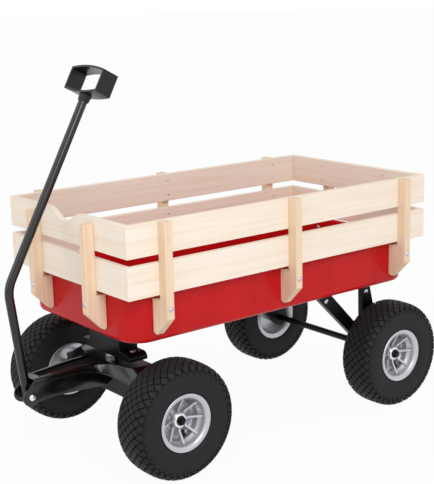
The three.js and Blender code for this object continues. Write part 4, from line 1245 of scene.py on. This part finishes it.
class CART_OT_rims(bpy.types.Operator):
    """Makes the pressed rims with their ribs, hub and nut"""

    bl_idname = "cart.make_rims"
    bl_label = "Rims"

    def execute(self, context):
        for place in WHEELS:
            self.rim(place)
            self.axle_nut(place)
            self.inner_tube(place)
        return {"FINISHED"}

    def rim(self, place):
        node = f"rim_{place}"
        centre = middle(f"tyre_{place}")
        side = outboard(place)
        bm = turned(rim_profile(), centre, Y_AXIS * side, 96, closed=True)
        body = object_from(bm, f"rim_body_{place}", 32)
        body.data.materials.append(silver_paint())
        thickness, edge = 5 * MM, 0.7 * MM
        outline = [(16, -4), (44.5, -3), (44.5, 16), (49.5, 27.5), (46, 26.5), (24, 12.6), (16, 11.5)]
        points = [Vector((r * MM, side * y * MM, 0)) for r, y in outline]
        rib = plate(points, Z_AXIS, -thickness / 2, thickness / 2, edge)
        ribs = ring_of(rib, sizes().rib_count, 0.0, centre, silver_paint(), f"ribs_{place}")
        piece = united(f"pressed_rim_{place}", [body, ribs])
        finish_piece(piece, silver_paint(), NODE_BODY[node], (node,))

    def axle_nut(self, place):
        """A dished, chromed washer with a hexagon nut in its middle."""
        node = f"axle_nut_{place}"
        axis = Y_AXIS * outboard(place)
        profile = [
            (6.3, -4), (15.2, -4), (16, -3.2), (15.8, -1.6), (14.6, -0.4), (12.4, 0.4), (10.6, 0.2),
            (9.6, -1), (6.3, -1),
        ]
        washer = turned(in_metres(profile), middle(node), axis, 40, closed=True)
        piece = object_from(washer, f"hub_washer_{place}", 32)
        finish_piece(piece, chrome(), NODE_BODY[node], (node,))
        hexagon = [(6.2, -0.8), (10.4, -0.8), (10.4, 4.4), (9.4, 5.4), (6.2, 5.4)]
        nut = turned(in_metres(hexagon), middle(node), axis, 6, closed=True)
        piece = object_from(nut, f"black_nut_{place}", 32)
        finish_piece(piece, powder_coat(), NODE_BODY[node])

    def inner_tube(self, place):
        """The tube inside the tyre, with the valve stem that comes out through the rim."""
        node = f"inner_tube_{place}"
        centre = middle(f"tyre_{place}")
        side = outboard(place)
        radius, cord, valve_angle = 86.5 * MM, 20 * MM, math.radians(-112.5)
        turns = (2 * math.pi * i / 20 for i in range(20))
        ring = [(radius + cord * math.cos(a), cord * math.sin(a)) for a in turns]
        bm = turned(ring, centre, Y_AXIS, 64, closed=True)
        towards = Vector((side * math.cos(valve_angle), 0, math.sin(valve_angle)))
        foot = centre + Y_AXIS * (side * 7 * MM) + towards * (70 * MM)
        stem = [(0, 0), (4, 0), (4, 26), (3.6, 30), (3.1, 33), (3.3, 34), (3.3, 41), (2.6, 42), (0, 42)]
        absorb(bm, turned(in_metres(stem), foot, -towards, 20))
        piece = object_from(bm, f"tube_and_valve_{place}", PARTED_ABOVE)
        finish_piece(piece, tyre_rubber(), NODE_BODY[node], (node,))


# ---------------------------------------------------------------- stage


class CART_OT_stage(bpy.types.Operator):
    """Makes the floor, the lamps, the world and the camera"""

    bl_idname = "cart.make_stage"
    bl_label = "Studio"

    camera_place: FloatVectorProperty(
        name="Camera", description="Place of the camera", default=(1.5287, 1.9923, 0.9944), subtype="XYZ"
    )
    heading: FloatProperty(name="Heading", description="Turn of the view round Z, degrees", default=-128.15)
    tilt: FloatProperty(name="Tilt", description="How far the camera looks down, degrees", default=12.81)
    roll: FloatProperty(name="Roll", description="Turn of the camera about its view, degrees", default=-1.32)
    lens: FloatProperty(name="Lens", description="Focal length on a 36 mm sensor, mm", default=82.52)

    def execute(self, context):
        self.camera(context)
        self.floor()
        self.world(context)
        self.lamp("key", (1.2, 3.0, 2.6), 2.2, 62)
        self.lamp("fill", (3.0, -0.6, 1.7), 2.4, 14)
        context.scene.view_settings.view_transform = "Standard"
        return {"FINISHED"}

    def camera(self, context):
        heading, tilt, roll = (math.radians(v) for v in (self.heading, self.tilt, self.roll))
        flat = Vector((math.cos(heading), math.sin(heading), 0))
        ahead = flat * math.cos(tilt) - Z_AXIS * math.sin(tilt)
        level = ahead.cross(Z_AXIS).normalized()
        top = level.cross(ahead)
        right = level * math.cos(roll) + top * math.sin(roll)
        up = top * math.cos(roll) - level * math.sin(roll)
        data = bpy.data.cameras.new("camera")
        data.sensor_width = 36
        data.lens = self.lens
        data.clip_end = 50
        camera = bpy.data.objects.new("camera", data)
        camera.matrix_world = Matrix((right, up, -ahead)).transposed().to_4x4()
        camera.location = self.camera_place
        context.scene.collection.objects.link(camera)
        context.scene.camera = camera

    def floor(self):
        half = 150.0
        corners = ((-half, -half), (half, -half), (half, half), (-half, half))
        bm = bmesh.new()
        bm.faces.new([bm.verts.new((x, y, 0)) for x, y in corners])
        floor = object_from(bm, "floor")
        floor.data.materials.append(self.floor_material())

    def seen(self, tree):
        """1 on the rays that show the studio: the camera's, and those off gloss and through glass."""
        rays = add_node(tree, "ShaderNodeLightPath").outputs
        direct = add_node(tree, "ShaderNodeMath", {"operation": "MAXIMUM"}, {
            0: rays["Is Camera Ray"], 1: rays["Is Glossy Ray"],
        })
        return add_node(tree, "ShaderNodeMath", {"operation": "MAXIMUM"}, {
            0: direct.outputs[0], 1: rays["Is Transmission Ray"],
        }).outputs[0]

    def floor_material(self):
        """Matt studio board: it reads as white, and keeps a light share of the shadow under the cart."""

        def build(tree):
            board = add_node(tree, "ShaderNodeBsdfDiffuse", inputs={"Color": colours().floor})
            white = add_node(tree, "ShaderNodeEmission", inputs={"Color": (1, 1, 1, 1), "Strength": 1.0})
            share = add_node(tree, "ShaderNodeMath", {"operation": "MULTIPLY"}, {0: self.seen(tree), 1: 0.95})
            return add_node(tree, "ShaderNodeMixShader", inputs={
                0: share.outputs[0], 1: board.outputs[0], 2: white.outputs[0],
            })

        return material("studio_board", build)

    def world(self, context):
        """White to the camera and in reflections, and a plain soft light on everything else."""
        world = bpy.data.worlds.new("studio")
        context.scene.world = world
        world.use_nodes = True
        tree = world.node_tree
        tree.nodes.clear()
        strength = add_node(tree, "ShaderNodeMapRange", inputs={
            "Value": self.seen(tree), "To Min": 0.68, "To Max": 1.0,
        })
        sky = add_node(tree, "ShaderNodeBackground", inputs={
            "Color": (1, 1, 1, 1), "Strength": strength.outputs["Result"],
        })
        add_node(tree, "ShaderNodeOutputWorld", inputs={"Surface": sky.outputs[0]})

    def lamp(self, name, place, size, power):
        """A round area lamp that faces the cart."""
        data = bpy.data.lights.new(name, "AREA")
        data.shape = "DISK"
        data.size = size
        data.energy = power
        cart_middle = Vector((0, 0, 0.4))
        lamp = bpy.data.objects.new(name, data)
        lamp.location = place
        lamp.rotation_euler = (cart_middle - Vector(place)).to_track_quat("-Z", "Y").to_euler()
        bpy.context.scene.collection.objects.link(lamp)


# ---------------------------------------------------------------- add-on


class CART_PT_panel(bpy.types.Panel):
    """Lists the steps that build the cart"""

    bl_label = "Garden Cart"
    bl_idname = "CART_PT_panel"
    bl_space_type = "VIEW_3D"
    bl_region_type = "UI"
    bl_category = "Garden Cart"

    def draw(self, context):
        for operator in OPERATORS:
            self.layout.operator(operator.bl_idname)
        for group in (context.scene.cart_sizes, context.scene.cart_colours):
            for name in group.bl_rna.properties.keys():
                if name not in ("rna_type", "name"):
                    self.layout.prop(group, name)


OPERATORS = (
    CART_OT_stage, CART_OT_tray, CART_OT_boards, CART_OT_posts, CART_OT_post_bolts, CART_OT_carriers,
    CART_OT_axles, CART_OT_turntable, CART_OT_yoke, CART_OT_handle, CART_OT_grip, CART_OT_tyres,
    CART_OT_rims, CART_OT_screws,
)
CLASSES = (CartSizes, CartColours, *OPERATORS, CART_PT_panel)


def register():
    for cls in CLASSES:
        bpy.utils.register_class(cls)
    bpy.types.Scene.cart_sizes = PointerProperty(type=CartSizes)
    bpy.types.Scene.cart_colours = PointerProperty(type=CartColours)


def unregister():
    del bpy.types.Scene.cart_colours
    del bpy.types.Scene.cart_sizes
    for cls in reversed(CLASSES):
        bpy.utils.unregister_class(cls)


def main():
    register()
    for operator in OPERATORS:
        group, name = operator.bl_idname.split(".")
        getattr(getattr(bpy.ops, group), name)()


if __name__ == "__main__":
    main()
